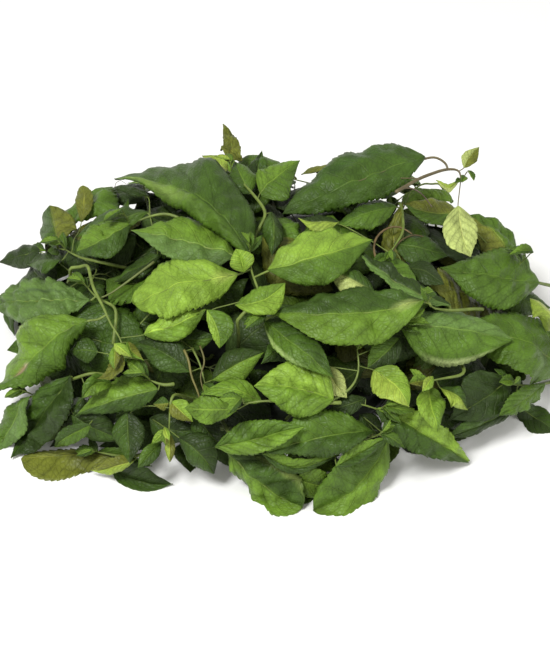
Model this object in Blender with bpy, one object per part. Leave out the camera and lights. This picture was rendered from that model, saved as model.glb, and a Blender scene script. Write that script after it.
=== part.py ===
"""A heap of fresh scent leaf (African basil) as cut from the plant.

Leafy stems lie over one another in a low dome. Each is one solid: a thin stem, its leaf stalks and its
waved, coarsely toothed leaves. The stems seen from the front are placed by points of a view that looks
down on the heap; those inside it and over its back and ends follow a seeded rule. Each is settled on
what lies under it, so that no two cross.
"""

import math

import bpy
import numpy as np

# Driving sizes, in metres, with +Z up, +X to the right of the front view and +Y to the back
HEAP_HALF_LENGTH = 0.192
HEAP_HALF_DEPTH = 0.145
HEAP_HEIGHT = 0.098
BLADE_THICKNESS = 0.0007
STALK_WIDTH = 0.0018
STALK_THICKNESS = 0.0013
STEM_RADIUS = 0.0016
STEM_END_RADIUS = 0.0013
GAP = 0.0006
MM = 0.001

# The front view: the heap's middle is VIEW_MIDDLE, in pixels, and is this far from the eye
VIEW_ELEVATION = math.radians(43)
VIEW_DISTANCE = 1.0
PIXELS_PER_METRE = 1500.0
VIEW_MIDDLE = (275.0, 330.0)

# A blade's rows from its base to its tip, and the share of its full width at each, from fine to plain
BLADE_ROWS = (
    ((0.0, 0.14, 0.36, 0.60, 0.83, 1.0), (0.10, 0.74, 1.0, 0.80, 0.38, 0.03)),
    ((0.0, 0.20, 0.48, 0.78, 1.0), (0.11, 0.86, 0.98, 0.52, 0.03)),
    ((0.0, 0.30, 0.66, 1.0), (0.12, 1.0, 0.76, 0.04)),
    ((0.0, 0.42, 1.0), (0.14, 1.0, 0.05)),
)
# Blades at least this many pixels wide in the front view have the rows above, from the most to the fewest
ROWS_FROM_PIXELS = (50, 27, 15, 0)
TOOTH = 0.05
EDGE_WAVE = 1.6 * MM
BLADE_BEND_RADIUS = 0.17
MOST_BEND = 0.03
MOST_TILT = math.radians(50)
STEM_SIDES = 4

# Settling: heights are measured along rays from a point below the heap's middle
RAY_DEPTH = 0.18
CELL = 0.0015
MAP_HALF = 0.27
FINE_SAMPLES = 15
TEST_SAMPLES = 8
SETTLE_ROUNDS = 60
ENVELOPE_ROUNDS = 8
LEAST_FREE = 0.5
ROOT_SAMPLES = 6
ROOT_SHIFT = 0.0002
LEAF_STIFFNESS = 0.85
STEM_STIFFNESS = 0.5
PLACING_ROUNDS = 3
MOST_RAISE = 0.03
RULED_TRIES = 12
MOST_STAND = 0.012
MOST_BASE_STAND = 0.0045
LIFT_WORTH_A_LEAF = 0.005
FEWEST_LEAVES = 2
MM_PER_METRE = 1000.0
NOTHING = -1.0

# Joining: points nearer than the first size count as one, and solids that graze move by steps of the second
WELD = 1e-6
GRAZE_SHIFT = 1.5e-5
MOST_JOINS = 12

# Leafy stems seen from the front, from the lowest to the topmost. Each has its name, the points of its
# stem in pixels, the stem's height over the heap in millimetres, and its leaves. A leaf is the pixels of
# its rib from base to tip, its half widths left and right of that line, the heights of base, middle and
# tip, how far its edges stand above the rib, and any pixels of a long stalk.
SEEN_STEMS = (
    ("rim_front_left", ((152, 452), (128, 458), (98, 452)), 1, (
        (((110, 466), (138, 481), (173, 484)), 13, 10, (1, 2, 1), 0, ()),
        (((112, 456), (66, 455), (21, 459)), 25, 6, (1, 4, 2), -3, ()),
        (((138, 462), (114, 468), (90, 470)), 8, 8, (4, 6, 4), 2, ()),
    )),
    ("rim_left", ((92, 372), (60, 384), (36, 396)), 1, (
        (((70, 376), (46, 412), (14, 459)), 30, 22, (2, 4, 1), 3, ()),
        (((36, 398), (14, 426), (-8, 454)), 17, 17, (1, 3, 1), 0, ()),
        (((102, 430), (84, 440), (65, 450)), 7, 7, (1, 2, 1), 0, ((96, 415),)),
    )),
    ("rim_front", ((232, 440), (300, 446), (384, 434)), 0, (
        (((296, 478), (322, 486), (346, 483)), 14, 15, (0, 2, 1), 0, ((300, 455),)),
        (((226, 450), (260, 484), (302, 508)), 26, 21, (1, 4, 0), -2, ()),
        (((388, 438), (370, 472), (313, 510)), 22, 30, (1, 3, 0), -2, ()),
    )),
    ("rim_right", ((560, 380), (532, 386), (508, 384)), 1, (
        (((512, 408), (482, 424), (446, 438)), 8, 12, (1, 1, 0), 0, ((516, 394),)),
        (((510, 380), (482, 400), (449, 420)), 22, 28, (2, 4, 2), 3, ()),
        (((518, 406), (536, 418), (558, 432)), 13, 15, (1, 2, 0), 0, ((522, 394),)),
        (((545, 384), (524, 400), (500, 416)), 10, 11, (4, 6, 3), 0, ()),
    )),
    ("front_right", ((350, 402), (362, 404), (380, 410)), 2, (
        (((376, 409), (422, 433), (471, 463)), 17, 19, (2, 8, 3), 5, ()),
        (((366, 398), (350, 404), (330, 410)), 10, 9, (1, 3, 1), 0, ()),
    )),
    ("front_left", ((171, 392), (170, 410), (169, 430)), 3, (
        (((128, 412), (128, 438), (132, 464)), 16, 15, (1, 4, 1), 0, ((145, 405),)),
        (((161, 442), (150, 454), (138, 468)), 8, 8, (2, 3, 1), 2, ()),
        (((179, 438), (198, 452), (214, 474)), 18, 16, (2, 5, 1), 0, ()),
        (((169, 403), (161, 404), (153, 404)), 7, 7, (2, 4, 3), 0, ()),
        (((171, 402), (182, 412), (193, 422)), 11, 10, (2, 5, 3), 0, ()),
        (((169, 432), (170, 446), (170, 462)), 5, 5, (4, 6, 3), 0, ()),
    )),
    ("front_middle", ((226, 446), (290, 450), (345, 446), (376, 436)), 3, (
        (((262, 454), (298, 468), (338, 457)), 7, 7, (3, 5, 4), 2, ()),
        (((334, 468), (360, 453), (389, 436)), 8, 8, (3, 6, 3), 2, ()),
        (((373, 432), (322, 438), (266, 453)), 18, 27, (4, 8, 4), 3, ()),
        (((215, 447), (252, 440), (304, 427)), 19, 15, (3, 6, 8), 2, ()),
    )),
    ("far_right", ((588, 372), (566, 362), (548, 350)), 1, (
        (((572, 370), (526, 344), (468, 322)), 36, 34, (2, 5, 2), 2, ()),
        (((548, 334), (546, 316), (530, 298)), 11, 11, (2, 5, 5), 0, ()),
    )),
    ("middle_left_low", ((190, 345), (200, 362), (206, 388)), -4, (
        (((190, 372), (166, 354), (138, 342)), 17, 17, (0, 3, 1), 0, ()),
        (((98, 352), (84, 350), (69, 352)), 13, 13, (-2, 1, 0), 0, ((150, 362),)),
        (((212, 380), (238, 364), (264, 352)), 17, 16, (0, 4, 2), 0, ()),
    )),
    ("middle_right_low", ((302, 407), (338, 399), (356, 384), (360, 366), (357, 350)), 5, (
        (((400, 338), (386, 352), (368, 368)), 14, 14, (0, 4, 2), 2, ()),
        (((327, 366), (334, 382), (347, 398)), 11, 11, (0, 3, 1), 2, ()),
        (((374, 370), (390, 386), (405, 410)), 16, 18, (2, 5, 3), 3, ((366, 368),)),
    )),
    ("right_low", ((466, 376), (444, 378), (426, 382)), 3, (
        (((430, 386), (431, 408), (437, 432)), 15, 15, (1, 6, 3), 2, ()),
        (((440, 388), (454, 396), (468, 410)), 12, 12, (1, 7, 4), 2, ()),
    )),
    ("far_left", ((118, 306), (98, 300), (88, 288)), 0, (
        (((90, 300), (44, 300), (-10, 303)), 25, 23, (2, 5, 2), 0, ()),
        (((40, 250), (20, 256), (-3, 262)), 13, 12, (0, 2, 0), 0, ((70, 272),)),
    )),
    ("upper_left", ((100, 262), (80, 258), (66, 250)), 2, (
        (((64, 262), (46, 262), (27, 264)), 15, 14, (2, 4, 2), 0, ()),
        (((62, 254), (56, 232), (50, 206)), 18, 19, (2, 6, 6), 0, ()),
        (((81, 222), (84, 204), (83, 185)), 9, 9, (4, 8, 8), 0, ((78, 240),)),
        (((96, 240), (116, 226), (128, 198)), 10, 9, (1, 5, 4), 0, ()),
    )),
    ("upper_left_side", ((168, 212), (150, 216), (130, 224)), 2, (
        (((148, 212), (112, 220), (76, 236)), 13, 13, (2, 6, 3), -3, ()),
        (((130, 226), (104, 239), (77, 252)), 14, 13, (2, 7, 4), 0, ()),
    )),
    ("middle_left", ((174, 384), (162, 386), (150, 380)), 3, (
        (((158, 390), (118, 399), (77, 417)), 17, 23, (2, 8, 3), -2, ()),
        (((112, 384), (96, 384), (82, 398)), 8, 9, (4, 8, 5), 3, ((134, 380),)),
    )),
    ("top_back", ((268, 214), (258, 200), (246, 186), (232, 174)), 3, (
        (((250, 194), (242, 178), (234, 160)), 15, 15, (1, 5, 3), 0, ()),
        (((260, 196), (280, 174), (300, 160)), 17, 17, (2, 5, 3), 3, ()),
        (((271, 212), (274, 232), (272, 256)), 10, 11, (2, 5, 2), 0, ()),
        (((228, 170), (214, 162), (202, 156)), 8, 8, (3, 7, 6), 0, ()),
        (((230, 170), (232, 148), (223, 123)), 8, 8, (4, 10, 10), 3, ()),
    )),
    ("upper_right", ((553, 286), (534, 282), (512, 272)), 2, (
        (((516, 268), (498, 238), (468, 214)), 17, 17, (2, 5, 2), 0, ()),
        (((458, 214), (432, 212), (404, 204)), 13, 13, (1, 3, 2), 0, ((484, 240),)),
        (((538, 284), (494, 276), (440, 268)), 28, 29, (3, 8, 5), 0, ()),
    )),
    ("hollow_right", ((402, 208), (404, 232), (388, 256)), 0, (
        (((394, 244), (420, 248), (448, 256)), 15, 14, (-2, 1, 0), 0, ()),
        (((404, 268), (424, 272), (444, 284)), 10, 10, (-3, 0, 0), 0, ((398, 254),)),
        (((374, 262), (396, 272), (418, 286)), 13, 13, (0, 3, 1), 0, ()),
        (((396, 206), (368, 213), (338, 224)), 14, 14, (3, 6, 3), 0, ()),
        (((338, 226), (318, 224), (298, 218)), 8, 8, (1, 3, 2), 0, ((370, 240),)),
    )),
    ("left", ((88, 262), (92, 286), (104, 308), (112, 328), (122, 338), (123, 352)), 8, (
        (((88, 321), (48, 345), (-2, 409)), 25, 27, (4, 10, 3), -4, ((98, 320),)),
        (((122, 352), (118, 370), (97, 379)), 8, 10, (5, 9, 6), 3, ()),
        (((128, 342), (134, 354), (147, 364)), 6, 6, (5, 8, 5), 0, ()),
        (((144, 335), (172, 326), (206, 309)), 15, 16, (5, 9, 7), -2, ()),
    )),
    ("middle", ((340, 404), (300, 404), (262, 400), (244, 404)), 4, (
        (((238, 414), (212, 411), (185, 408)), 14, 12, (2, 6, 3), 0, ()),
        (((262, 402), (235, 392), (203, 397)), 11, 12, (3, 6, 4), 0, ()),
        (((333, 400), (296, 388), (254, 386)), 28, 30, (3, 9, 5), 2, ()),
    )),
    ("right", ((372, 322), (386, 323), (400, 325)), 6, (
        (((400, 325), (452, 328), (512, 340)), 23, 38, (4, 12, 4), -4, ()),
    )),
    ("middle_upper", ((330, 302), (296, 310), (266, 318)), 5, (
        (((374, 292), (352, 280), (326, 267)), 15, 14, (2, 5, 3), 0, ((350, 298),)),
        (((264, 320), (288, 340), (334, 378)), 22, 18, (3, 7, 3), -3, ()),
    )),
    ("right_upper", ((456, 312), (438, 310), (424, 307)), 8, (
        (((450, 306), (394, 280), (350, 245)), 9, 9, (3, 7, 5), 0, ()),
        (((420, 306), (345, 314), (271, 311)), 36, 25, (6, 14, 5), -4, ()),
    )),
    ("top", ((264, 304), (256, 284), (250, 268), (250, 252)), 8, (
        (((236, 256), (190, 242), (131, 231)), 24, 26, (3, 6, 2), -2, ()),
        (((248, 256), (212, 206), (115, 180)), 22, 34, (6, 12, 4), -4, ()),
        (((238, 274), (190, 285), (134, 305)), 31, 29, (6, 13, 6), -4, ()),
        (((244, 272), (241, 260), (236, 249)), 11, 12, (9, 13, 12), 4, ()),
        (((268, 270), (318, 256), (373, 240)), 27, 28, (8, 15, 5), -5, ()),
        (((236, 310), (258, 303), (285, 284)), 16, 17, (6, 11, 9), 2, ((250, 294),)),
        (((207, 310), (216, 328), (220, 348)), 18, 6, (6, 8, 5), 0, ((240, 302),)),
    )),
    ("top_right", ((396, 192), (420, 178), (445, 169), (460, 169), (461, 182)), 30, (
        (((425, 157), (352, 182), (282, 214)), 24, 31, (26, 14, 6), -4, ((446, 163), (436, 156))),
        (((458, 206), (462, 232), (469, 259)), 16, 16, (22, 14, 8), 3, ()),
        (((464, 168), (469, 158), (479, 147)), 6, 7, (34, 36, 38), 2, ()),
        (((459, 181), (448, 188), (436, 180)), 4, 4, (28, 28, 28), 0, ()),
    )),
)

# Leafy stems placed by rule: name, how many, the share of the heap's size they lie at, the range of
# angles round the heap and up its side in degrees, leaf pairs, and leaf length
RULED_STEMS = (
    ("base", 6, 0.0, (30, 390), (0, 0), 2, 0.080),
    ("inner", 2, 0.68, (200, 340), (24, 50), 2, 0.084),
    ("end_left", 2, 0.84, (172, 200), (8, 30), 2, 0.080),
    ("end_right", 2, 0.84, (-20, 8), (8, 30), 2, 0.080),
    ("back_low", 6, 0.90, (20, 164), (4, 14), 2, 0.080),
    ("back_high", 5, 0.84, (30, 150), (26, 52), 2, 0.082),
)
OUTER_SHARE = 0.6
BASE_REACH = 0.93
# The heart: a core of leaves pressed together, which others stand out of
HEART_SHARE = 0.66
HEART_BOTTOM = 0.011
HEART_CREASE = 0.09
HEART_LEAVES = 9
HEART_TURNS = 12
HEART_RISES = (0.0, 22.0, 46.0, 70.0)
RULED_LEAF_SHAPE = 0.27
RULED_STEM_LENGTH = 0.075
HEART_LEAN = 0.2
GOLDEN_TURN = math.radians(137.508)
SEED = 5

# Leaf colours as sRGB hex, for the stems in turn
LEAF_COLOURS = ("#5d7d38", "#6e8638", "#50702b", "#7fa147", "#4b652c", "#66803a", "#748241")
LEAF_ROUGHNESS = 0.55


def colour(code):
    """Linear colour of an sRGB hex code."""
    parts = [int(code[i:i + 2], 16) / 255 for i in (1, 3, 5)]
    return [c / 12.92 if c <= 0.04045 else ((c + 0.055) / 1.055) ** 2.4 for c in parts] + [1.0]


def unit(vectors):
    return vectors / np.maximum(np.linalg.norm(vectors, axis=-1, keepdims=True), 1e-9)


# The front view and the dome

EYE = VIEW_DISTANCE * np.array([0.0, -math.cos(VIEW_ELEVATION), math.sin(VIEW_ELEVATION)])
FORWARD = -EYE / VIEW_DISTANCE
UPWARD = np.array([0.0, math.sin(VIEW_ELEVATION), math.cos(VIEW_ELEVATION)])
HALF_SIZES = np.array([HEAP_HALF_LENGTH, HEAP_HALF_DEPTH, HEAP_HEIGHT])


def sight_lines(pixels):
    """Directions from the eye through pixels of the front view."""
    across = (np.asarray(pixels, float) - VIEW_MIDDLE) / (PIXELS_PER_METRE * VIEW_DISTANCE)
    return unit(FORWARD + across[..., :1] * np.array([1.0, 0, 0]) - across[..., 1:] * UPWARD)


def dome_points(pixels, lift):
    """Where sight lines meet the dome, raised by lift; past its outline, the nearest place on the line."""
    lines = sight_lines(pixels)
    sizes = HALF_SIZES + np.asarray(lift, float)[..., None]
    a = ((lines / sizes) ** 2).sum(-1)
    b = (lines * EYE / sizes ** 2).sum(-1)
    c = ((EYE / sizes) ** 2).sum(-1) - 1
    along = (-b - np.sqrt(np.maximum(b * b - a * c, 0))) / a
    return EYE + along[..., None] * lines


def above_ground(points, lines, least):
    """Brings points that would be under the ground back along their sight lines."""
    grounded = EYE + ((least - EYE[2]) / lines[..., 2:]) * lines
    return np.where(points[..., 2:] < least, grounded, points)


def dome_normals(points):
    return unit(points / HALF_SIZES ** 2)


# Heights along rays from a point below the heap


def to_fan(points):
    scale = RAY_DEPTH / (points[..., 2] + RAY_DEPTH)
    return points * scale[..., None]


def from_fan(fan):
    height = fan[..., 2] * RAY_DEPTH / (RAY_DEPTH - fan[..., 2])
    scale = (height + RAY_DEPTH) / RAY_DEPTH
    return np.stack([fan[..., 0] * scale, fan[..., 1] * scale, height], -1)


class Pile:
    """The highest surface laid so far, on a grid of rays."""

    def __init__(self):
        side = int(2 * MAP_HALF / CELL)
        self.top = np.full((side, side), NOTHING)
        self.near = self.top

    def cells(self, p, q):
        last = self.top.shape[0] - 1
        i = np.clip(((p + MAP_HALF) / CELL).astype(int), 0, last)
        j = np.clip(((q + MAP_HALF) / CELL).astype(int), 0, last)
        return i, j

    def add(self, p, q, height):
        np.maximum.at(self.top, self.cells(p, q), height)

    def spread(self):
        """Takes the highest of each cell and those round it."""
        padded = np.pad(self.top, 1, constant_values=NOTHING)
        side = self.top.shape[0]
        shifts = [padded[i:i + side, j:j + side] for i in range(3) for j in range(3)]
        self.near = np.max(shifts, axis=0)

    def under(self, p, q):
        return self.near[self.cells(p, q)]


def sheet_triangles(rows, columns):
    """Triangles of a grid, with the diagonals of its left and right halves mirrored."""
    found = []
    for i in range(rows - 1):
        for j in range(columns - 1):
            a, b = i * columns + j, i * columns + j + 1
            d, c = a + columns, b + columns
            if 2 * j < columns - 1:
                found += [(a, b, c), (a, c, d)]
            else:
                found += [(a, b, d), (b, c, d)]
    return np.array(found)


def spread_weights(corners, count, parts):
    """Weights of evenly spread points of triangles, or of segments, over their corner points."""
    steps = np.arange(parts + 1) / parts
    if corners.shape[1] == 2:
        local = np.stack([1 - steps, steps], -1)
    else:
        u, v = np.meshgrid(steps, steps)
        inside = u + v <= 1 + 1e-9
        local = np.stack([1 - u[inside] - v[inside], u[inside], v[inside]], -1)
    weights = np.zeros((len(corners), len(local), count))
    for k in range(corners.shape[1]):
        weights[np.arange(len(corners))[:, None], np.arange(len(local)), corners[:, k:k + 1]] += local[:, k]
    return weights.reshape(-1, count)


def ray_clearance(points, normals, clear):
    """How much height in the fan keeps a surface this far clear of another."""
    rays = unit(points + np.array([0, 0, RAY_DEPTH]))
    facing = np.maximum(np.abs((normals * rays).sum(-1)), 0.45)
    scale = RAY_DEPTH / (points[..., 2] + RAY_DEPTH)
    return clear * rays[..., 2] / facing * scale ** 2


def settle(fan, weights, need, links, stiffness, pinned):
    """Raises points until the places between them, as weighted sums, are as high as needed, and their
    neighbours enough to keep the slope against the shape wished for within the stiffness."""
    wished = fan[:, 2]
    height = wished.copy()
    free = weights * ~pinned
    reachable = free.sum(1) > LEAST_FREE
    weights, need, free = weights[reachable], need[reachable], free[reachable]
    squares = (free ** 2).sum(1)[:, None]
    spans = np.linalg.norm(fan[links[:, 0], :2] - fan[links[:, 1], :2], axis=1)
    for _ in range(SETTLE_ROUNDS):
        short = np.maximum(need - weights @ height, 0)
        if short.max(initial=0) < 1e-5:
            break
        height = height + (short[:, None] * free / squares).max(0)
    for _ in range(ENVELOPE_ROUNDS):
        lift = height - wished
        lower = lift.copy()
        np.maximum.at(lower, links[:, 0], lift[links[:, 1]] - stiffness * spans)
        np.maximum.at(lower, links[:, 1], lift[links[:, 0]] - stiffness * spans)
        height = np.where(pinned, height, wished + lower)
    return height


# Leaves and stems as points


def rib_points(points, rows):
    """A smooth curve through points, at shares of its length."""
    points = np.asarray(points, float)
    spans = np.linalg.norm(np.diff(points, axis=0), axis=1)
    at = np.concatenate([[0], np.cumsum(spans)]) / spans.sum()
    curve = [np.polyfit(at, points[:, k], len(points) - 1) for k in range(points.shape[1])]
    places = np.stack([np.polyval(c, rows) for c in curve], -1)
    slopes = np.stack([np.polyval(np.polyder(c), rows) for c in curve], -1)
    return places, unit(slopes)


def edge_shape(random, rows):
    """The toothed width and the waved height of both edges at each row."""
    teeth = 1 + TOOTH * np.where(np.arange(len(rows)) % 2, 1, -1)
    waves = random.uniform(-EDGE_WAVE, EDGE_WAVE, (2, len(rows)))
    waves[:, 0] = 0
    waves[:, -1] = 0
    return teeth, waves


def seen_leaf(random, rib, left, right, lifts, cup, stalk):
    """A leaf placed by the front view: the grid of its points, and how many of its rows are stalk."""
    level = next(k for k, least in enumerate(ROWS_FROM_PIXELS) if left + right >= least)
    rows, widths = (np.array(values) for values in BLADE_ROWS[level])
    places, slopes = rib_points(rib, rows)
    sideways = np.stack([slopes[:, 1], -slopes[:, 0]], -1)
    teeth, waves = edge_shape(random, rows)
    share = widths * teeth
    half_stalk = STALK_WIDTH / 2 * PIXELS_PER_METRE
    to_left = np.maximum(left * share, half_stalk)[:, None] * sideways
    to_right = np.maximum(right * share, half_stalk)[:, None] * sideways
    pixels = np.stack([places + to_left, places, places - to_right], 1)
    along = np.interp(rows, (0, 0.5, 1), lifts) * MM
    raised = cup * MM * widths
    heights = np.stack([along + raised + waves[0], along, along + raised + waves[1]], 1)
    if stalk:
        stalk_places = np.array(stalk, float)
        ends = np.concatenate([stalk_places, places[:1]])
        turn = unit(np.diff(ends, axis=0))
        turn = np.stack([turn[:, 1], -turn[:, 0]], -1)[:, None] * half_stalk
        side = np.array([1.0, 0.0, -1.0])[None, :, None]
        pixels = np.concatenate([stalk_places[:, None] + turn * side, pixels])
        heights = np.concatenate([np.full((len(stalk), 3), lifts[0] * MM), heights])
    middle, _ = rib_points(rib, np.array([0.45]))
    centre = dome_points(middle[0], lifts[1] * MM)
    toward = -sight_lines(middle[0])
    normal = dome_normals(centre)
    facing = normal @ toward
    if facing < math.cos(MOST_TILT):
        aside = unit(normal - facing * toward)
        normal = math.cos(MOST_TILT) * toward + math.sin(MOST_TILT) * aside
    lines = sight_lines(pixels)
    offset = heights - lifts[1] * MM
    bend = np.zeros(offset.shape)
    for _ in range(5):
        points = EYE + ((((centre - EYE) @ normal + offset - bend) / (lines @ normal))[..., None] * lines)
        bend = np.minimum(((points - centre) ** 2).sum(-1) / (2 * BLADE_BEND_RADIUS), MOST_BEND)
    return above_ground(points, lines, BLADE_THICKNESS / 2), len(stalk)


def shell_point(points, share):
    """Points moved along lines from the heap's middle to the dome at this share of its size."""
    reach = np.sqrt(((points / HALF_SIZES) ** 2).sum(-1, keepdims=True))
    return points / reach * share


def ruled_leaf(random, start, direction, normal, length, share):
    """A leaf placed by rule on an inner or outer dome, or on the ground where share is 0."""
    rows, widths = (np.array(values) for values in BLADE_ROWS[3 if share < OUTER_SHARE else 2])
    teeth, waves = edge_shape(random, rows)
    across = unit(np.cross(normal, direction))
    stalk = length * random.uniform(0.16, 0.26)
    curl = random.uniform(-0.35, 0.35)
    along = stalk + rows * (length - stalk)
    sway = curl * length * rows ** 2 / 2
    centre = start + along[:, None] * direction + sway[:, None] * across
    half = np.maximum(RULED_LEAF_SHAPE * length * widths * teeth, STALK_WIDTH / 2)
    side = np.array([1.0, 0.0, -1.0])
    points = centre[:, None] + (half[:, None] * side)[..., None] * across
    if share == 0:
        for shorter in np.linspace(1, 0.4, 13):
            tip = start + shorter * (points[-1, 1] - start)
            if np.hypot(*(tip / HALF_SIZES)[:2]) <= BASE_REACH:
                break
        points = start + shorter * (points - start)
        points[..., 2] = BLADE_THICKNESS / 2
        return points
    rise_and_fall = (0.001, random.uniform(0.002, 0.006), random.uniform(-0.004, 0.003))
    lift = np.interp(rows, (0, 0.5, 1), rise_and_fall)
    fold = random.uniform(-0.005, 0.004) * widths
    heights = lift[:, None] + np.stack([fold + waves[0], fold * 0, fold + waves[1]], 1)
    onto = shell_point(points, share)
    return onto + heights[..., None] * dome_normals(onto)


def seen_stem(random, raised, name, pixels, lift, leaves):
    """The points of a stem and its leaves, placed by the front view and raised by millimetres."""
    pixels = np.array(pixels, float)
    line = dome_points(pixels, np.full(len(pixels), (lift + raised[0]) * MM))
    line = above_ground(line, sight_lines(pixels), STEM_RADIUS)
    spans = np.linalg.norm(np.diff(pixels, axis=0), axis=1)
    at = np.concatenate([[0], np.cumsum(spans)]) / spans.sum()
    fine = np.linspace(0.04, 0.96, 60)
    fine_pixels = np.stack([np.interp(fine, at, pixels[:, k]) for k in range(2)], -1)
    grids = []
    for (rib, left, right, lifts, cup, stalk), more in zip(leaves, raised[1:]):
        grid, stalk_rows = seen_leaf(random, rib, left, right, np.add(lifts, more), cup, stalk)
        first = stalk[0] if stalk else rib[0]
        nearest = fine[np.argmin(np.linalg.norm(fine_pixels - np.array(first), axis=1))]
        grids.append((grid, stalk_rows, nearest))
    return name, line, at, grids


def ruled_stem(random, name, share, turn, rise, pairs, length):
    """The points of a stem and its leaves, placed by rule."""
    grids = []
    stem_length = RULED_STEM_LENGTH * random.uniform(0.85, 1.15)
    if share == 0:
        middle = np.array([0.095 * math.cos(turn), 0.068 * math.sin(turn), STEM_RADIUS])
        normal = np.array([0.0, 0.0, 1.0])
        heading = turn + random.uniform(-0.4, 0.4)
        direction = np.array([math.cos(heading), math.sin(heading), 0])
    else:
        flat = math.cos(rise)
        middle = HALF_SIZES * share * [math.cos(turn) * flat, math.sin(turn) * flat, math.sin(rise)]
        normal = dome_normals(middle)
        level = unit(np.cross([0, 0, 1.0], normal))
        upward = np.cross(normal, level)
        heading = random.uniform(0, 2 * math.pi)
        if rise < math.radians(25):
            heading = random.choice([-1, 1]) * random.uniform(0.15, 0.7) + random.choice([0, math.pi])
        direction = math.cos(heading) * level + math.sin(heading) * upward
    at = np.linspace(0, 1, 5)
    line = middle + (at - 0.5)[:, None] * stem_length * direction
    if share:
        line = shell_point(line, share)
    line[:, 2] = np.maximum(line[:, 2], STEM_RADIUS)
    across = np.cross(normal, direction)
    places = np.linspace(0.3, 0.84, pairs)
    for k, place in enumerate(places):
        start = line[0] + (line[-1] - line[0]) * place
        for side in (-1, 1):
            angle = side * random.uniform(0.75, 1.25)
            aim = unit(math.cos(angle) * direction + math.sin(angle) * across)
            size = length * random.uniform(0.86, 1.14) * (1 - 0.14 * k)
            grids.append((ruled_leaf(random, start, aim, normal, size, share), 0, place))
    aim = unit(direction + random.uniform(-0.3, 0.3) * across)
    size = length * random.uniform(0.6, 0.85)
    grids.append((ruled_leaf(random, line[-1], aim, normal, size, share), 0, 0.96))
    return name, line, at, grids


def heart_stem(random):
    """The points of the heart's stem, which its core hides, and of the leaves that stand out of it."""
    at = np.linspace(0, 1, 3)
    reach = HALF_SIZES[0] * HEART_SHARE / 2
    line = np.stack([(2 * at - 1) * reach, 0 * at, 0 * at + HALF_SIZES[2] * HEART_SHARE / 2], -1)
    grids = []
    for k in range(HEART_LEAVES):
        turn = k * GOLDEN_TURN
        rise = math.radians(random.uniform(8, 70))
        flat = math.cos(rise)
        start = HALF_SIZES * HEART_SHARE * [math.cos(turn) * flat, math.sin(turn) * flat, math.sin(rise)]
        normal = dome_normals(start)
        aim = random.normal(0, 1, 3)
        aim = unit(unit(aim - (aim @ normal) * normal) + HEART_LEAN * normal)
        leaf = ruled_leaf(random, start, aim, normal, random.uniform(0.07, 0.09), HEART_SHARE + 0.05)
        grids.append((leaf, 0, np.clip((start[0] / reach + 1) / 2, 0.1, 0.9)))
    return "heart", line, at, grids


def heart_core():
    """Points and faces of the core: a low creased dome with a flat underside."""
    turns = np.arange(HEART_TURNS) * 2 * math.pi / HEART_TURNS
    rings = []
    for k, rise in enumerate(np.radians(HEART_RISES)):
        crease = HEART_SHARE * (1 + HEART_CREASE * np.cos(turns * 5 + k * 2.4))
        flat = math.cos(rise)
        ring = np.stack([flat * np.cos(turns), flat * np.sin(turns), 0 * turns + math.sin(rise)], -1)
        rings.append(ring * HALF_SIZES * crease[:, None])
    rings[0][:, 2] = HEART_BOTTOM
    points = np.concatenate(rings + [[[0, 0, HALF_SIZES[2] * HEART_SHARE]], [[0, 0, HEART_BOTTOM]]])
    number = np.arange(HEART_TURNS * len(rings)).reshape(len(rings), HEART_TURNS)
    turned = np.roll(number, -1, axis=1)
    a, b, c, d = number[:-1].ravel(), turned[:-1].ravel(), turned[1:].ravel(), number[1:].ravel()
    crown, foot = len(points) - 2, len(points) - 1
    faces = np.concatenate([
        np.stack([a, b, c], -1), np.stack([a, c, d], -1),
        np.stack([number[-1], turned[-1], np.full(HEART_TURNS, crown)], -1),
        np.stack([turned[0], number[0], np.full(HEART_TURNS, foot)], -1),
    ])
    return points, faces


def sheet_normals(points):
    """Normals of a grid of points, pointing away from the heap's middle."""
    along = np.gradient(points, axis=0)
    across = np.gradient(points, axis=1)
    normals = unit(np.cross(along, across))
    outward = (normals * (points + np.array([0, 0, RAY_DEPTH]))).sum()
    return normals if outward > 0 else -normals


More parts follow.
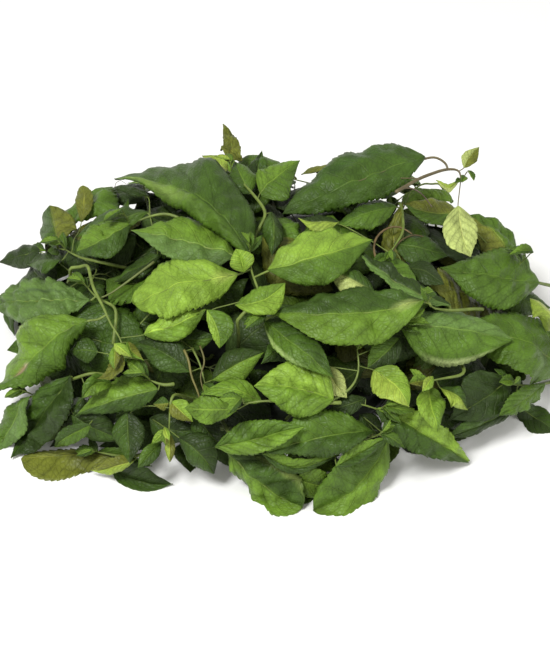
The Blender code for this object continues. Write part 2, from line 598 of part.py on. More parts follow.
def settle_stem(pile, random, most_lift, name, line, at, grids):
    """One leafy stem laid on the pile, without the leaves that would be raised by more than most_lift; its
    points and faces for the pile; and the mean lift of its leaves."""
    radius = np.linspace(STEM_RADIUS, STEM_END_RADIUS, len(line))
    fan = to_fan(np.concatenate([line[:, :2], np.maximum(line[:, 2:], radius[:, None])], 1))
    links = np.stack([np.arange(len(line) - 1), np.arange(1, len(line))], -1)
    clear = ray_clearance(line, unit(line + [0, 0, RAY_DEPTH]), radius + GAP / 2)
    weights = spread_weights(links, len(line), FINE_SAMPLES)
    need = pile.under(weights @ fan[:, 0], weights @ fan[:, 1]) + weights @ clear
    for grid, _, place in grids:
        root = np.array([np.interp(place, at, np.eye(len(line))[k]) for k in range(len(line))])
        stalk = root @ fan + np.linspace(0, 1 - LEAST_FREE, ROOT_SAMPLES)[:, None] * (
            to_fan(grid[0, 1]) - root @ fan)
        weights = np.concatenate([weights, np.repeat(root[None], ROOT_SAMPLES, 0)])
        need = np.concatenate([need, pile.under(stalk[:, 0], stalk[:, 1]) + root @ clear])
    fan[:, 2] = settle(fan, weights, need, links, STEM_STIFFNESS, np.zeros(len(line), bool))
    line = from_fan(fan)
    laid = [(fan, links, clear)]
    own = Pile()
    leaves, lifts = [], []
    for grid, stalk_rows, place in grids:
        root = np.array([np.interp(place, at, line[:, k]) for k in range(3)])
        root = root + random.uniform(-ROOT_SHIFT, ROOT_SHIFT, 3)
        grid = np.concatenate([np.repeat(root[None, None], 3, 1), grid])
        narrow = 1 + stalk_rows
        first = unit(grid[1, 0] - grid[1, 2]) * STALK_WIDTH / 2
        grid[0] += np.array([1.0, 0.0, -1.0])[:, None] * first
        grid[..., 2] = np.maximum(grid[..., 2], BLADE_THICKNESS / 2)
        rows, columns = grid.shape[:2]
        flat_fan = to_fan(grid).reshape(-1, 3)
        normals = sheet_normals(grid)
        clear = ray_clearance(grid, normals, (BLADE_THICKNESS + GAP) / 2)
        clear[:narrow + 1] += (STALK_THICKNESS - BLADE_THICKNESS) / 2
        clear = clear.reshape(-1)
        corners = sheet_triangles(rows, columns)
        number = np.arange(rows * columns).reshape(rows, columns)
        links = np.concatenate([
            np.stack([number[:-1].ravel(), number[1:].ravel()], -1),
            np.stack([number[:, :-1].ravel(), number[:, 1:].ravel()], -1),
        ])
        pinned = number.ravel() < columns
        blade = (number.ravel() >= columns * (narrow + 1)).astype(float)
        weights = spread_weights(corners, rows * columns, TEST_SAMPLES)
        p, q = weights @ flat_fan[:, 0], weights @ flat_fan[:, 1]
        need = pile.under(p, q)
        need = np.where(weights @ blade > 0.999, np.maximum(need, own.under(p, q)), need)
        height = settle(flat_fan, weights, need + weights @ clear, links, LEAF_STIFFNESS, pinned)
        height = height.reshape(rows, columns)
        lift = height - flat_fan[:, 2].reshape(rows, columns)
        together = list(range(1, narrow + 1)) + [rows - 1]
        lift[together] = lift[together].max(1, keepdims=True)
        flat_fan[:, 2] += lift.ravel()
        raised = np.linalg.norm(from_fan(flat_fan) - grid.reshape(-1, 3), axis=1)[columns:].max()
        if raised > most_lift:
            continue
        lifts.append(raised)
        laid.append((flat_fan, corners, clear))
        weights = spread_weights(corners[4 * narrow:], rows * columns, FINE_SAMPLES)
        own.add(weights @ flat_fan[:, 0], weights @ flat_fan[:, 1], weights @ (flat_fan[:, 2] + clear))
        own.spread()
        leaves.append((from_fan(flat_fan).reshape(rows, columns, 3), narrow))
    if name == "heart":
        core, core_faces = heart_core()
        laid.append((to_fan(core), core_faces, np.full(len(core), GAP)))
    return (name, line, radius, leaves), laid, sum(lifts) / max(len(lifts), 1)


def lay(pile, laid):
    """Adds a settled stem to the pile's top."""
    for fan, corners, clear in laid:
        weights = spread_weights(corners, len(fan), FINE_SAMPLES)
        pile.add(weights @ fan[:, 0], weights @ fan[:, 1], weights @ (fan[:, 2] + clear))
    pile.spread()


def lifts_of(stem, done):
    """How far a laid stem and each of its leaves stand above where they were wished to be."""
    _, line, _, grids = stem
    lifts = [((done[1] - line) * dome_normals(line)).sum(-1).mean()]
    for (grid, stalk_rows, _), (settled, _) in zip(grids, done[3]):
        blade, landed = grid[stalk_rows:], settled[1 + stalk_rows:]
        along = ((landed - blade) * dome_normals(blade)).sum(-1).mean(1)
        lifts.append(np.interp((0, 0.5, 1), np.linspace(0, 1, len(along)), along))
    return lifts


def ruled_layout(pile, random):
    """The stems placed by rule, each the best of several tries: most leaves kept, then least lift."""
    found = []
    order = sorted(RULED_STEMS, key=lambda rule: rule[2] > 0)
    for name, count, share, turns, rises, pairs, length in order:
        for k in range(count):
            turn = math.radians(turns[0] + (turns[1] - turns[0]) * (k + 0.5) / count)
            rise = math.radians(rises[0] + (rises[1] - rises[0]) * ((k * 0.618 + 0.31) % 1))
            tries = []
            for _ in range(RULED_TRIES):
                stem = ruled_stem(random, f"{name}_{k + 1}", share, turn, rise, pairs, length)
                tries.append(settle_stem(pile, random, MOST_STAND if share else MOST_BASE_STAND, *stem))
            best = max(tries, key=lambda result: len(result[0][3]) - result[2] / LIFT_WORTH_A_LEAF)
            if len(best[0][3]) < FEWEST_LEAVES:
                continue
            found.append(best[0])
            lay(pile, best[1])
        if share == 0:
            heart = settle_stem(pile, random, MOST_STAND, *heart_stem(random))
            found.append(heart[0])
            lay(pile, heart[1])
    return found


def heap_layout():
    """Every leafy stem in the order it is laid: name, stem line, radii and leaf grids."""
    random = np.random.default_rng(SEED)
    under = Pile()
    ruled = ruled_layout(under, random)
    raised = [[0.0] * (1 + len(stem[3])) for stem in SEEN_STEMS]
    for _ in range(PLACING_ROUNDS):
        random = np.random.default_rng(SEED)
        pile = Pile()
        pile.top = under.top.copy()
        pile.spread()
        seen = []
        for k, stem in enumerate(SEEN_STEMS):
            wished = seen_stem(random, raised[k], *stem)
            done, laid, _ = settle_stem(pile, random, math.inf, *wished)
            lay(pile, laid)
            seen.append(done)
            more = [MM_PER_METRE * np.clip(lift, 0, MOST_RAISE) for lift in lifts_of(wished, done)]
            raised[k] = [old + new for old, new in zip(raised[k], more)]
    return ruled + seen


# Solids


def leaf_solid(grid, narrow):
    """A closed leaf of even thickness over a grid of points, split alike on both faces."""
    rows, columns = grid.shape[:2]
    thickness = np.full(rows, BLADE_THICKNESS)
    thickness[:narrow + 1] = STALK_THICKNESS
    half = sheet_normals(grid) * thickness[:, None, None] / 2
    points = np.concatenate([(grid + half).reshape(-1, 3), (grid - half).reshape(-1, 3)])
    points[:, 2] = np.maximum(points[:, 2], 0)
    count = rows * columns
    top = sheet_triangles(rows, columns)
    number = np.arange(count).reshape(rows, columns)
    border = np.concatenate([number[0, :-1], number[:-1, -1], number[-1, :0:-1], number[:0:-1, 0]])
    onward = np.roll(border, -1)
    rim = np.concatenate([
        np.stack([border, border + count, onward + count], -1),
        np.stack([border, onward + count, onward], -1),
    ])
    faces = np.concatenate([top, top[:, ::-1] + count, rim])
    return outward_mesh(points, faces)


def stem_solid(line, radius):
    """A stem of few sides along a line, with closed ends."""
    along = unit(np.gradient(line, axis=0))
    side = np.empty(line.shape)
    reference = unit(np.cross(along[0], [0.3, 0.2, 1.0]))
    for k, direction in enumerate(along):
        reference = unit(reference - (reference @ direction) * direction)
        side[k] = reference
    other = np.cross(along, side)
    turns = np.arange(STEM_SIDES) * 2 * math.pi / STEM_SIDES
    ring = np.cos(turns)[:, None, None] * side + np.sin(turns)[:, None, None] * other
    points = (line + ring * radius[:, None]).transpose(1, 0, 2).reshape(-1, 3)
    points[:, 2] = np.maximum(points[:, 2], 0)
    number = np.arange(len(points)).reshape(len(line), STEM_SIDES)
    turned = np.roll(number, -1, axis=1)
    a, b, c, d = number[:-1].ravel(), turned[:-1].ravel(), turned[1:].ravel(), number[1:].ravel()
    faces = np.concatenate([np.stack([a, b, c], -1), np.stack([a, c, d], -1)])
    fan = [(0, k + 1, k) for k in range(1, STEM_SIDES - 1)]
    last = number[-1, 0]
    far = [(last, last + k, last + k + 1) for k in range(1, STEM_SIDES - 1)]
    return outward_mesh(points, np.concatenate([faces, fan, far]))


def signed_volume(points, faces):
    a, b, c = (points[faces[:, k]] for k in range(3))
    return (np.cross(a, b) * c).sum() / 6


def outward_mesh(points, faces):
    if signed_volume(points, faces) < 0:
        faces = faces[:, ::-1]
    return points, faces


def new_object(name, points, faces):
    mesh = bpy.data.meshes.new(name)
    mesh.from_pydata(points.tolist(), [], faces.tolist())
    mesh.update()
    return bpy.data.objects.new(name, mesh)


def separate_shells(points, faces):
    """The faces of each connected shell of a mesh."""
    label = np.arange(len(points))
    while True:
        lowest = label[faces].min(1)
        before = label.copy()
        for k in range(3):
            np.minimum.at(label, faces[:, k], lowest)
        label = label[label]
        if (label == before).all():
            break
    of_face = label[faces[:, 0]]
    return [faces[of_face == value] for value in np.unique(of_face)]


def sound(points, faces):
    """Whether each edge of a mesh joins two faces, also where points nearly meet."""
    _, number = np.unique(np.round(points / WELD), axis=0, return_inverse=True)
    corners = number.reshape(-1)[faces]
    flat = (corners == np.roll(corners, 1, axis=1)).any(1)
    corners = corners[~flat]
    ends = np.concatenate([corners[:, [0, 1]], corners[:, [1, 2]], corners[:, [2, 0]]])
    counts = np.unique(np.sort(ends, axis=1), axis=0, return_counts=True)[1]
    return bool((counts == 2).all())


def joined(name, solids, shifts):
    """The union of solids, each moved by its shift: sealed hollows are filled and loose scraps dropped."""
    helpers = bpy.data.collections.new(name + "_leaves")
    body = new_object(name, *solids[0])
    bpy.context.scene.collection.objects.link(body)
    for k, ((points, faces), shift) in enumerate(zip(solids[1:], shifts)):
        helpers.objects.link(new_object(f"{name}_leaf_{k}", points + shift, faces))
    union = body.modifiers.new("union", "BOOLEAN")
    union.operation = "UNION"
    union.operand_type = "COLLECTION"
    union.collection = helpers
    union.solver = "MANIFOLD"
    graph = bpy.context.evaluated_depsgraph_get()
    mesh = body.evaluated_get(graph).to_mesh()
    mesh.calc_loop_triangles()
    points = np.empty(len(mesh.vertices) * 3, np.float32)
    mesh.vertices.foreach_get("co", points)
    faces = np.empty(len(mesh.loop_triangles) * 3, np.int32)
    mesh.loop_triangles.foreach_get("vertices", faces)
    body.evaluated_get(graph).to_mesh_clear()
    body.modifiers.remove(union)
    for helper in list(helpers.objects):
        bpy.data.objects.remove(helper)
    bpy.data.collections.remove(helpers)
    bpy.data.objects.remove(body)
    points = points.reshape(-1, 3).astype(float)
    shells = separate_shells(points, faces.reshape(-1, 3))
    whole = max(shells, key=lambda shell: signed_volume(points, shell))
    used, renumbered = np.unique(whole, return_inverse=True)
    return points[used], renumbered.reshape(-1, 3)


def fused(name, solids):
    """One closed body from the overlapping solids of a leafy stem. Where two only graze each other they
    are moved a little, and joined again."""
    random = np.random.default_rng(SEED)
    for attempt in range(MOST_JOINS):
        shifts = random.uniform(-1, 1, (len(solids) - 1, 3)) * attempt * GRAZE_SHIFT
        points, faces = joined(name, solids, shifts)
        if sound(points, faces):
            break
    return points, faces


def leaf_material(name, code):
    material = bpy.data.materials.new(name)
    material.use_nodes = True
    shader = material.node_tree.nodes["Principled BSDF"]
    shader.inputs["Base Color"].default_value = colour(code)
    shader.inputs["Roughness"].default_value = LEAF_ROUGHNESS
    shader.inputs["Metallic"].default_value = 0.0
    return material


def build():
    for item in list(bpy.data.objects):
        bpy.data.objects.remove(item)
    solids = []
    for name, line, radius, leaves in heap_layout():
        parts = [stem_solid(line, radius)] + [leaf_solid(grid, narrow) for grid, narrow in leaves]
        if name == "heart":
            parts.insert(0, outward_mesh(*heart_core()))
        solids.append((name, *fused(name, parts)))
    low = np.min([points.min(0) for _, points, _ in solids], axis=0)
    high = np.max([points.max(0) for _, points, _ in solids], axis=0)
    shift = np.array([-(low[0] + high[0]) / 2, -(low[1] + high[1]) / 2, -low[2]])
    for k, (name, points, faces) in enumerate(solids):
        stem = new_object("leafy_stem_" + name, points + shift, faces)
        stem.data.materials.append(leaf_material("leaf_" + name, LEAF_COLOURS[k % len(LEAF_COLOURS)]))
        bpy.context.scene.collection.objects.link(stem)


build()
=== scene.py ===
"""Looks of the scent leaf heap: every leafy stem of the frame gets fine toothed, veined leaves on round
stalks, laid in the same places by the same rules as its solids."""

import math

import bpy
import numpy as np
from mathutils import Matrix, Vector


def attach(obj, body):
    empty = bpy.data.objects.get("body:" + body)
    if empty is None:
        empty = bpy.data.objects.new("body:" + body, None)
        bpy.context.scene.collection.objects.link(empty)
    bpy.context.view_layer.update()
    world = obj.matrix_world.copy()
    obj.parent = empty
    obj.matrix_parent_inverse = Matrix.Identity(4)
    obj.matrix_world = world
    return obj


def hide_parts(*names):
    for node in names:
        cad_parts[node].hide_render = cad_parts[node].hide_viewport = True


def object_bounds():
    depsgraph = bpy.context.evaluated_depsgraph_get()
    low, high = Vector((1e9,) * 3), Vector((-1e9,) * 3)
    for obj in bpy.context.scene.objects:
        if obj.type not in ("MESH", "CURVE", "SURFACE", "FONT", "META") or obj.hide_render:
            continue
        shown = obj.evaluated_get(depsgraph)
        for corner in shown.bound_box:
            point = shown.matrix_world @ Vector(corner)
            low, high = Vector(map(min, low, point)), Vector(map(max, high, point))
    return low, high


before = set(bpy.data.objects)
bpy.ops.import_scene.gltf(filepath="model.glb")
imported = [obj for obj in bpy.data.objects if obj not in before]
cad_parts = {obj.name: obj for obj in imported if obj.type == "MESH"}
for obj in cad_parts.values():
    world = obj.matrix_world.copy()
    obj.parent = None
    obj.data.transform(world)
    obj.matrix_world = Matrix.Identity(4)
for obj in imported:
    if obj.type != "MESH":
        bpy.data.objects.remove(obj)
cad_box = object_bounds()

# Driving sizes, in metres, with +Z up, +X to the right of the front view and +Y to the back
HEAP_HALF_LENGTH = 0.192
HEAP_HALF_DEPTH = 0.145
HEAP_HEIGHT = 0.098
BLADE_THICKNESS = 0.0007
STALK_WIDTH = 0.0018
STALK_THICKNESS = 0.0013
STEM_RADIUS = 0.0016
STEM_END_RADIUS = 0.0013
GAP = 0.0006
MM = 0.001

# The front view: the heap's middle is VIEW_MIDDLE, in pixels, and is this far from the eye
VIEW_ELEVATION = math.radians(43)
VIEW_DISTANCE = 1.0
PIXELS_PER_METRE = 1500.0
VIEW_MIDDLE = (275.0, 330.0)

# A blade's rows from its base to its tip, and the share of its full width at each, from fine to plain
BLADE_ROWS = (
    ((0.0, 0.14, 0.36, 0.60, 0.83, 1.0), (0.10, 0.74, 1.0, 0.80, 0.38, 0.03)),
    ((0.0, 0.20, 0.48, 0.78, 1.0), (0.11, 0.86, 0.98, 0.52, 0.03)),
    ((0.0, 0.30, 0.66, 1.0), (0.12, 1.0, 0.76, 0.04)),
    ((0.0, 0.42, 1.0), (0.14, 1.0, 0.05)),
)
# Blades at least this many pixels wide in the front view have the rows above, from the most to the fewest
ROWS_FROM_PIXELS = (50, 27, 15, 0)
TOOTH = 0.05
EDGE_WAVE = 1.6 * MM
BLADE_BEND_RADIUS = 0.17
MOST_BEND = 0.03
MOST_TILT = math.radians(50)
BEND_ROUNDS = 5
BLADE_MIDDLE = 0.45

# Settling: heights are measured along rays from a point below the heap's middle
RAY_DEPTH = 0.18
CELL = 0.0015
MAP_HALF = 0.27
LEAST_FACING = 0.45
FINE_SAMPLES = 15
TEST_SAMPLES = 8
SETTLE_ROUNDS = 60
ENVELOPE_ROUNDS = 8
LEAST_FREE = 0.5
ROOT_SAMPLES = 6
ROOT_SHIFT = 0.0002
LEAF_STIFFNESS = 0.85
STEM_STIFFNESS = 0.5
PLACING_ROUNDS = 3
MOST_RAISE = 0.03
RULED_TRIES = 12
MOST_STAND = 0.012
MOST_BASE_STAND = 0.0045
LIFT_WORTH_A_LEAF = 0.005
FEWEST_LEAVES = 2
MM_PER_METRE = 1000.0
NOTHING = -1.0

# Leafy stems seen from the front, from the lowest to the topmost. Each has its name, the points of its
# stem in pixels, the stem's height over the heap in millimetres, and its leaves. A leaf is the pixels of
# its rib from base to tip, its half widths left and right of that line, the heights of base, middle and
# tip, how far its edges stand above the rib, any pixels of a long stalk, and its halves' tones, which hold
# painted light and shade as well as the leaf's colour.
SEEN_STEMS = (
    ("rim_front_left", ((152, 452), (128, 458), (98, 452)), 1, (
        (((110, 466), (138, 481), (173, 484)), 13, 10, (1, 2, 1), 0, (), "kd"),
        (((112, 456), (66, 455), (21, 459)), 25, 6, (1, 4, 2), -3, (), "oor"),
        (((138, 462), (114, 468), (90, 470)), 8, 8, (4, 6, 4), 2, (), "yo"),
    )),
    ("rim_left", ((92, 372), (60, 384), (36, 396)), 1, (
        (((70, 376), (46, 412), (14, 459)), 30, 22, (2, 4, 1), 3, (), "kd"),
        (((36, 398), (14, 426), (-8, 454)), 17, 17, (1, 3, 1), 0, (), "sm"),
        (((102, 430), (84, 440), (65, 450)), 7, 7, (1, 2, 1), 0, ((96, 415),), "md"),
    )),
    ("rim_front", ((232, 440), (300, 446), (384, 434)), 0, (
        (((296, 478), (322, 486), (346, 483)), 14, 15, (0, 2, 1), 0, ((300, 455),), "gg"),
        (((226, 450), (260, 484), (302, 508)), 26, 21, (1, 4, 0), -2, (), "dgcr"),
        (((388, 438), (370, 472), (313, 510)), 22, 30, (1, 3, 0), -2, (), "gmr"),
    )),
    ("rim_right", ((560, 380), (532, 386), (508, 384)), 1, (
        (((512, 408), (482, 424), (446, 438)), 8, 12, (1, 1, 0), 0, ((516, 394),), "kd"),
        (((510, 380), (482, 400), (449, 420)), 22, 28, (2, 4, 2), 3, (), "kk"),
        (((518, 406), (536, 418), (558, 432)), 13, 15, (1, 2, 0), 0, ((522, 394),), "dk"),
        (((545, 384), (524, 400), (500, 416)), 10, 11, (4, 6, 3), 0, (), "mm"),
    )),
    ("front_right", ((350, 402), (362, 404), (380, 410)), 2, (
        (((376, 409), (422, 433), (471, 463)), 17, 19, (2, 8, 3), 5, (), "bd"),
        (((366, 398), (350, 404), (330, 410)), 10, 9, (1, 3, 1), 0, (), "kk"),
    )),
    ("front_left", ((171, 392), (170, 410), (169, 430)), 3, (
        (((128, 412), (128, 438), (132, 464)), 16, 15, (1, 4, 1), 0, ((145, 405),), "kd"),
        (((161, 442), (150, 454), (138, 468)), 8, 8, (2, 3, 1), 2, (), "dm"),
        (((179, 438), (198, 452), (214, 474)), 18, 16, (2, 5, 1), 0, (), "kd"),
        (((169, 403), (161, 404), (153, 404)), 7, 7, (2, 4, 3), 0, (), "od"),
        (((171, 402), (182, 412), (193, 422)), 11, 10, (2, 5, 3), 0, (), "bo"),
        (((169, 432), (170, 446), (170, 462)), 5, 5, (4, 6, 3), 0, (), "oy"),
    )),
    ("front_middle", ((226, 446), (290, 450), (345, 446), (376, 436)), 3, (
        (((262, 454), (298, 468), (338, 457)), 7, 7, (3, 5, 4), 2, (), "gd"),
        (((334, 468), (360, 453), (389, 436)), 8, 8, (3, 6, 3), 2, (), "gd"),
        (((373, 432), (322, 438), (266, 453)), 18, 27, (4, 8, 4), 3, (), "dm"),
        (((215, 447), (252, 440), (304, 427)), 19, 15, (3, 6, 8), 2, (), "mgc"),
    )),
    ("far_right", ((588, 372), (566, 362), (548, 350)), 1, (
        (((572, 370), (526, 344), (468, 322)), 36, 34, (2, 5, 2), 2, (), "mm"),
        (((548, 334), (546, 316), (530, 298)), 11, 11, (2, 5, 5), 0, (), "yp"),
    )),
    ("middle_left_low", ((190, 345), (200, 362), (206, 388)), -4, (
        (((190, 372), (166, 354), (138, 342)), 17, 17, (0, 3, 1), 0, (), "dk"),
        (((98, 352), (84, 350), (69, 352)), 13, 13, (-2, 1, 0), 0, ((150, 362),), "dd"),
        (((212, 380), (238, 364), (264, 352)), 17, 16, (0, 4, 2), 0, (), "kg"),
    )),
    ("middle_right_low", ((302, 407), (338, 399), (356, 384), (360, 366), (357, 350)), 5, (
        (((400, 338), (386, 352), (368, 368)), 14, 14, (0, 4, 2), 2, (), "km"),
        (((327, 366), (334, 382), (347, 398)), 11, 11, (0, 3, 1), 2, (), "pp"),
        (((374, 370), (390, 386), (405, 410)), 16, 18, (2, 5, 3), 3, ((366, 368),), "by"),
    )),
    ("right_low", ((466, 376), (444, 378), (426, 382)), 3, (
        (((430, 386), (431, 408), (437, 432)), 15, 15, (1, 6, 3), 2, (), "gbc"),
        (((440, 388), (454, 396), (468, 410)), 12, 12, (1, 7, 4), 2, (), "dyc"),
    )),
    ("far_left", ((118, 306), (98, 300), (88, 288)), 0, (
        (((90, 300), (44, 300), (-10, 303)), 25, 23, (2, 5, 2), 0, (), "ss"),
        (((40, 250), (20, 256), (-3, 262)), 13, 12, (0, 2, 0), 0, ((70, 272),), "kk"),
    )),
    ("upper_left", ((100, 262), (80, 258), (66, 250)), 2, (
        (((64, 262), (46, 262), (27, 264)), 15, 14, (2, 4, 2), 0, (), "dk"),
        (((62, 254), (56, 232), (50, 206)), 18, 19, (2, 6, 6), 0, (), "dor"),
        (((81, 222), (84, 204), (83, 185)), 9, 9, (4, 8, 8), 0, ((78, 240),), "oor"),
        (((96, 240), (116, 226), (128, 198)), 10, 9, (1, 5, 4), 0, (), "dm"),
    )),
    ("upper_left_side", ((168, 212), (150, 216), (130, 224)), 2, (
        (((148, 212), (112, 220), (76, 236)), 13, 13, (2, 6, 3), -3, (), "md"),
        (((130, 226), (104, 239), (77, 252)), 14, 13, (2, 7, 4), 0, (), "dg"),
    )),
    ("middle_left", ((174, 384), (162, 386), (150, 380)), 3, (
        (((158, 390), (118, 399), (77, 417)), 17, 23, (2, 8, 3), -2, (), "dg"),
        (((112, 384), (96, 384), (82, 398)), 8, 9, (4, 8, 5), 3, ((134, 380),), "gmc"),
    )),
    ("top_back", ((268, 214), (258, 200), (246, 186), (232, 174)), 3, (
        (((250, 194), (242, 178), (234, 160)), 15, 15, (1, 5, 3), 0, (), "dm"),
        (((260, 196), (280, 174), (300, 160)), 17, 17, (2, 5, 3), 3, (), "gm"),
        (((271, 212), (274, 232), (272, 256)), 10, 11, (2, 5, 2), 0, (), "kdc"),
        (((228, 170), (214, 162), (202, 156)), 8, 8, (3, 7, 6), 0, (), "py"),
        (((230, 170), (232, 148), (223, 123)), 8, 8, (4, 10, 10), 3, (), "ooc"),
    )),
    ("upper_right", ((553, 286), (534, 282), (512, 272)), 2, (
        (((516, 268), (498, 238), (468, 214)), 17, 17, (2, 5, 2), 0, (), "omc"),
        (((458, 214), (432, 212), (404, 204)), 13, 13, (1, 3, 2), 0, ((484, 240),), "mo"),
        (((538, 284), (494, 276), (440, 268)), 28, 29, (3, 8, 5), 0, (), "mm"),
    )),
    ("hollow_right", ((402, 208), (404, 232), (388, 256)), 0, (
        (((394, 244), (420, 248), (448, 256)), 15, 14, (-2, 1, 0), 0, (), "dd"),
        (((404, 268), (424, 272), (444, 284)), 10, 10, (-3, 0, 0), 0, ((398, 254),), "kk"),
        (((374, 262), (396, 272), (418, 286)), 13, 13, (0, 3, 1), 0, (), "mg"),
        (((396, 206), (368, 213), (338, 224)), 14, 14, (3, 6, 3), 0, (), "md"),
        (((338, 226), (318, 224), (298, 218)), 8, 8, (1, 3, 2), 0, ((370, 240),), "yk"),
    )),
    ("left", ((88, 262), (92, 286), (104, 308), (112, 328), (122, 338), (123, 352)), 8, (
        (((88, 321), (48, 345), (-2, 409)), 25, 27, (4, 10, 3), -4, ((98, 320),), "mg"),
        (((122, 352), (118, 370), (97, 379)), 8, 10, (5, 9, 6), 3, (), "oo"),
        (((128, 342), (134, 354), (147, 364)), 6, 6, (5, 8, 5), 0, (), "og"),
        (((144, 335), (172, 326), (206, 309)), 15, 16, (5, 9, 7), -2, (), "bgc"),
    )),
    ("middle", ((340, 404), (300, 404), (262, 400), (244, 404)), 4, (
        (((238, 414), (212, 411), (185, 408)), 14, 12, (2, 6, 3), 0, (), "ggc"),
        (((262, 402), (235, 392), (203, 397)), 11, 12, (3, 6, 4), 0, (), "ggc"),
        (((333, 400), (296, 388), (254, 386)), 28, 30, (3, 9, 5), 2, (), "gbc"),
    )),
    ("right", ((372, 322), (386, 323), (400, 325)), 6, (
        (((400, 325), (452, 328), (512, 340)), 23, 38, (4, 12, 4), -4, (), "sm"),
    )),
    ("middle_upper", ((330, 302), (296, 310), (266, 318)), 5, (
        (((374, 292), (352, 280), (326, 267)), 15, 14, (2, 5, 3), 0, ((350, 298),), "pd"),
        (((264, 320), (288, 340), (334, 378)), 22, 18, (3, 7, 3), -3, (), "dm"),
    )),
    ("right_upper", ((456, 312), (438, 310), (424, 307)), 8, (
        (((450, 306), (394, 280), (350, 245)), 9, 9, (3, 7, 5), 0, (), "sk"),
        (((420, 306), (345, 314), (271, 311)), 36, 25, (6, 14, 5), -4, (), "gd"),
    )),
    ("top", ((264, 304), (256, 284), (250, 268), (250, 252)), 8, (
        (((236, 256), (190, 242), (131, 231)), 24, 26, (3, 6, 2), -2, (), "sg"),
        (((248, 256), (212, 206), (115, 180)), 22, 34, (6, 12, 4), -4, (), "md"),
        (((238, 274), (190, 285), (134, 305)), 31, 29, (6, 13, 6), -4, (), "bbr"),
        (((244, 272), (241, 260), (236, 249)), 11, 12, (9, 13, 12), 4, (), "bb"),
        (((268, 270), (318, 256), (373, 240)), 27, 28, (8, 15, 5), -5, (), "bm"),
        (((236, 310), (258, 303), (285, 284)), 16, 17, (6, 11, 9), 2, ((250, 294),), "gb"),
        (((207, 310), (216, 328), (220, 348)), 18, 6, (6, 8, 5), 0, ((240, 302),), "mbc"),
    )),
    ("top_right", ((396, 192), (420, 178), (445, 169), (460, 169), (461, 182)), 30, (
        (((425, 157), (352, 182), (282, 214)), 24, 31, (26, 14, 6), -4, ((446, 163), (436, 156)), "dd"),
        (((458, 206), (462, 232), (469, 259)), 16, 16, (22, 14, 8), 3, (), "pp"),
        (((464, 168), (469, 158), (479, 147)), 6, 7, (34, 36, 38), 2, (), "po"),
        (((459, 181), (448, 188), (436, 180)), 4, 4, (28, 28, 28), 0, (), "py"),
    )),
)

# Leafy stems placed by rule: name, how many, the share of the heap's size they lie at, the range of
# angles round the heap and up its side in degrees, leaf pairs, and leaf length
RULED_STEMS = (
    ("base", 6, 0.0, (30, 390), (0, 0), 2, 0.080),
    ("inner", 2, 0.68, (200, 340), (24, 50), 2, 0.084),
    ("end_left", 2, 0.84, (172, 200), (8, 30), 2, 0.080),
    ("end_right", 2, 0.84, (-20, 8), (8, 30), 2, 0.080),
    ("back_low", 6, 0.90, (20, 164), (4, 14), 2, 0.080),
    ("back_high", 5, 0.84, (30, 150), (26, 52), 2, 0.082),
)
OUTER_SHARE = 0.6
BASE_REACH = 0.93
BASE_RING = (0.095, 0.068)
LOW_RISE = math.radians(25)
# The heart: a core of leaves pressed together, which others stand out of
HEART_SHARE = 0.66
HEART_BOTTOM = 0.011
HEART_CREASE = 0.09
HEART_LEAVES = 9
HEART_TURNS = 12
HEART_RISES = (0.0, 22.0, 46.0, 70.0)
RULED_LEAF_SHAPE = 0.27
RULED_STEM_LENGTH = 0.075
HEART_LEAN = 0.2
GOLDEN_TURN = math.radians(137.508)
SEED = 5


def unit(vectors):
    """Vectors divided by their lengths."""
    return vectors / np.maximum(np.linalg.norm(vectors, axis=-1, keepdims=True), 1e-9)


def run_along(points):
    """How far along a path each of its points is: the running sum of the steps between them."""
    return np.concatenate([[0], np.cumsum(np.linalg.norm(np.diff(points, axis=0), axis=1))])


def points_at(places, at, points):
    """Places on straight lines between a path's points, where at says how far along each point is."""
    return np.stack([np.interp(places, at, points[:, k]) for k in range(points.shape[1])], -1)


# The front view and the dome

EYE = VIEW_DISTANCE * np.array([0.0, -math.cos(VIEW_ELEVATION), math.sin(VIEW_ELEVATION)])
FORWARD = -EYE / VIEW_DISTANCE
UPWARD = np.array([0.0, math.sin(VIEW_ELEVATION), math.cos(VIEW_ELEVATION)])
HALF_SIZES = np.array([HEAP_HALF_LENGTH, HEAP_HALF_DEPTH, HEAP_HEIGHT])


def sight_lines(pixels):
    """Directions from the eye through pixels of the front view."""
    across = (np.asarray(pixels, float) - VIEW_MIDDLE) / (PIXELS_PER_METRE * VIEW_DISTANCE)
    return unit(FORWARD + across[..., :1] * np.array([1.0, 0, 0]) - across[..., 1:] * UPWARD)


def dome_points(pixels, lift):
    """Where sight lines meet the dome, raised by lift; past its outline, the nearest place on the line."""
    lines = sight_lines(pixels)
    sizes = HALF_SIZES + np.asarray(lift, float)[..., None]
    a = ((lines / sizes) ** 2).sum(-1)
    b = (lines * EYE / sizes ** 2).sum(-1)
    c = ((EYE / sizes) ** 2).sum(-1) - 1
    along = (-b - np.sqrt(np.maximum(b * b - a * c, 0))) / a
    return EYE + along[..., None] * lines


def above_ground(points, lines, least):
    """Brings points that would be under the ground back along their sight lines."""
    grounded = EYE + ((least - EYE[2]) / lines[..., 2:]) * lines
    return np.where(points[..., 2:] < least, grounded, points)


def dome_normals(points):
    """Outward normals of the dome: each coordinate over the square of the half size along it."""
    return unit(points / HALF_SIZES ** 2)


# Heights along rays from a point below the heap


def to_fan(points):
    """Points drawn towards the low point, by its depth over their height above it."""
    scale = RAY_DEPTH / (points[..., 2] + RAY_DEPTH)
    return points * scale[..., None]


def from_fan(fan):
    """Points moved back out, which undoes to_fan."""
    height = fan[..., 2] * RAY_DEPTH / (RAY_DEPTH - fan[..., 2])
    scale = (height + RAY_DEPTH) / RAY_DEPTH
    return np.stack([fan[..., 0] * scale, fan[..., 1] * scale, height], -1)


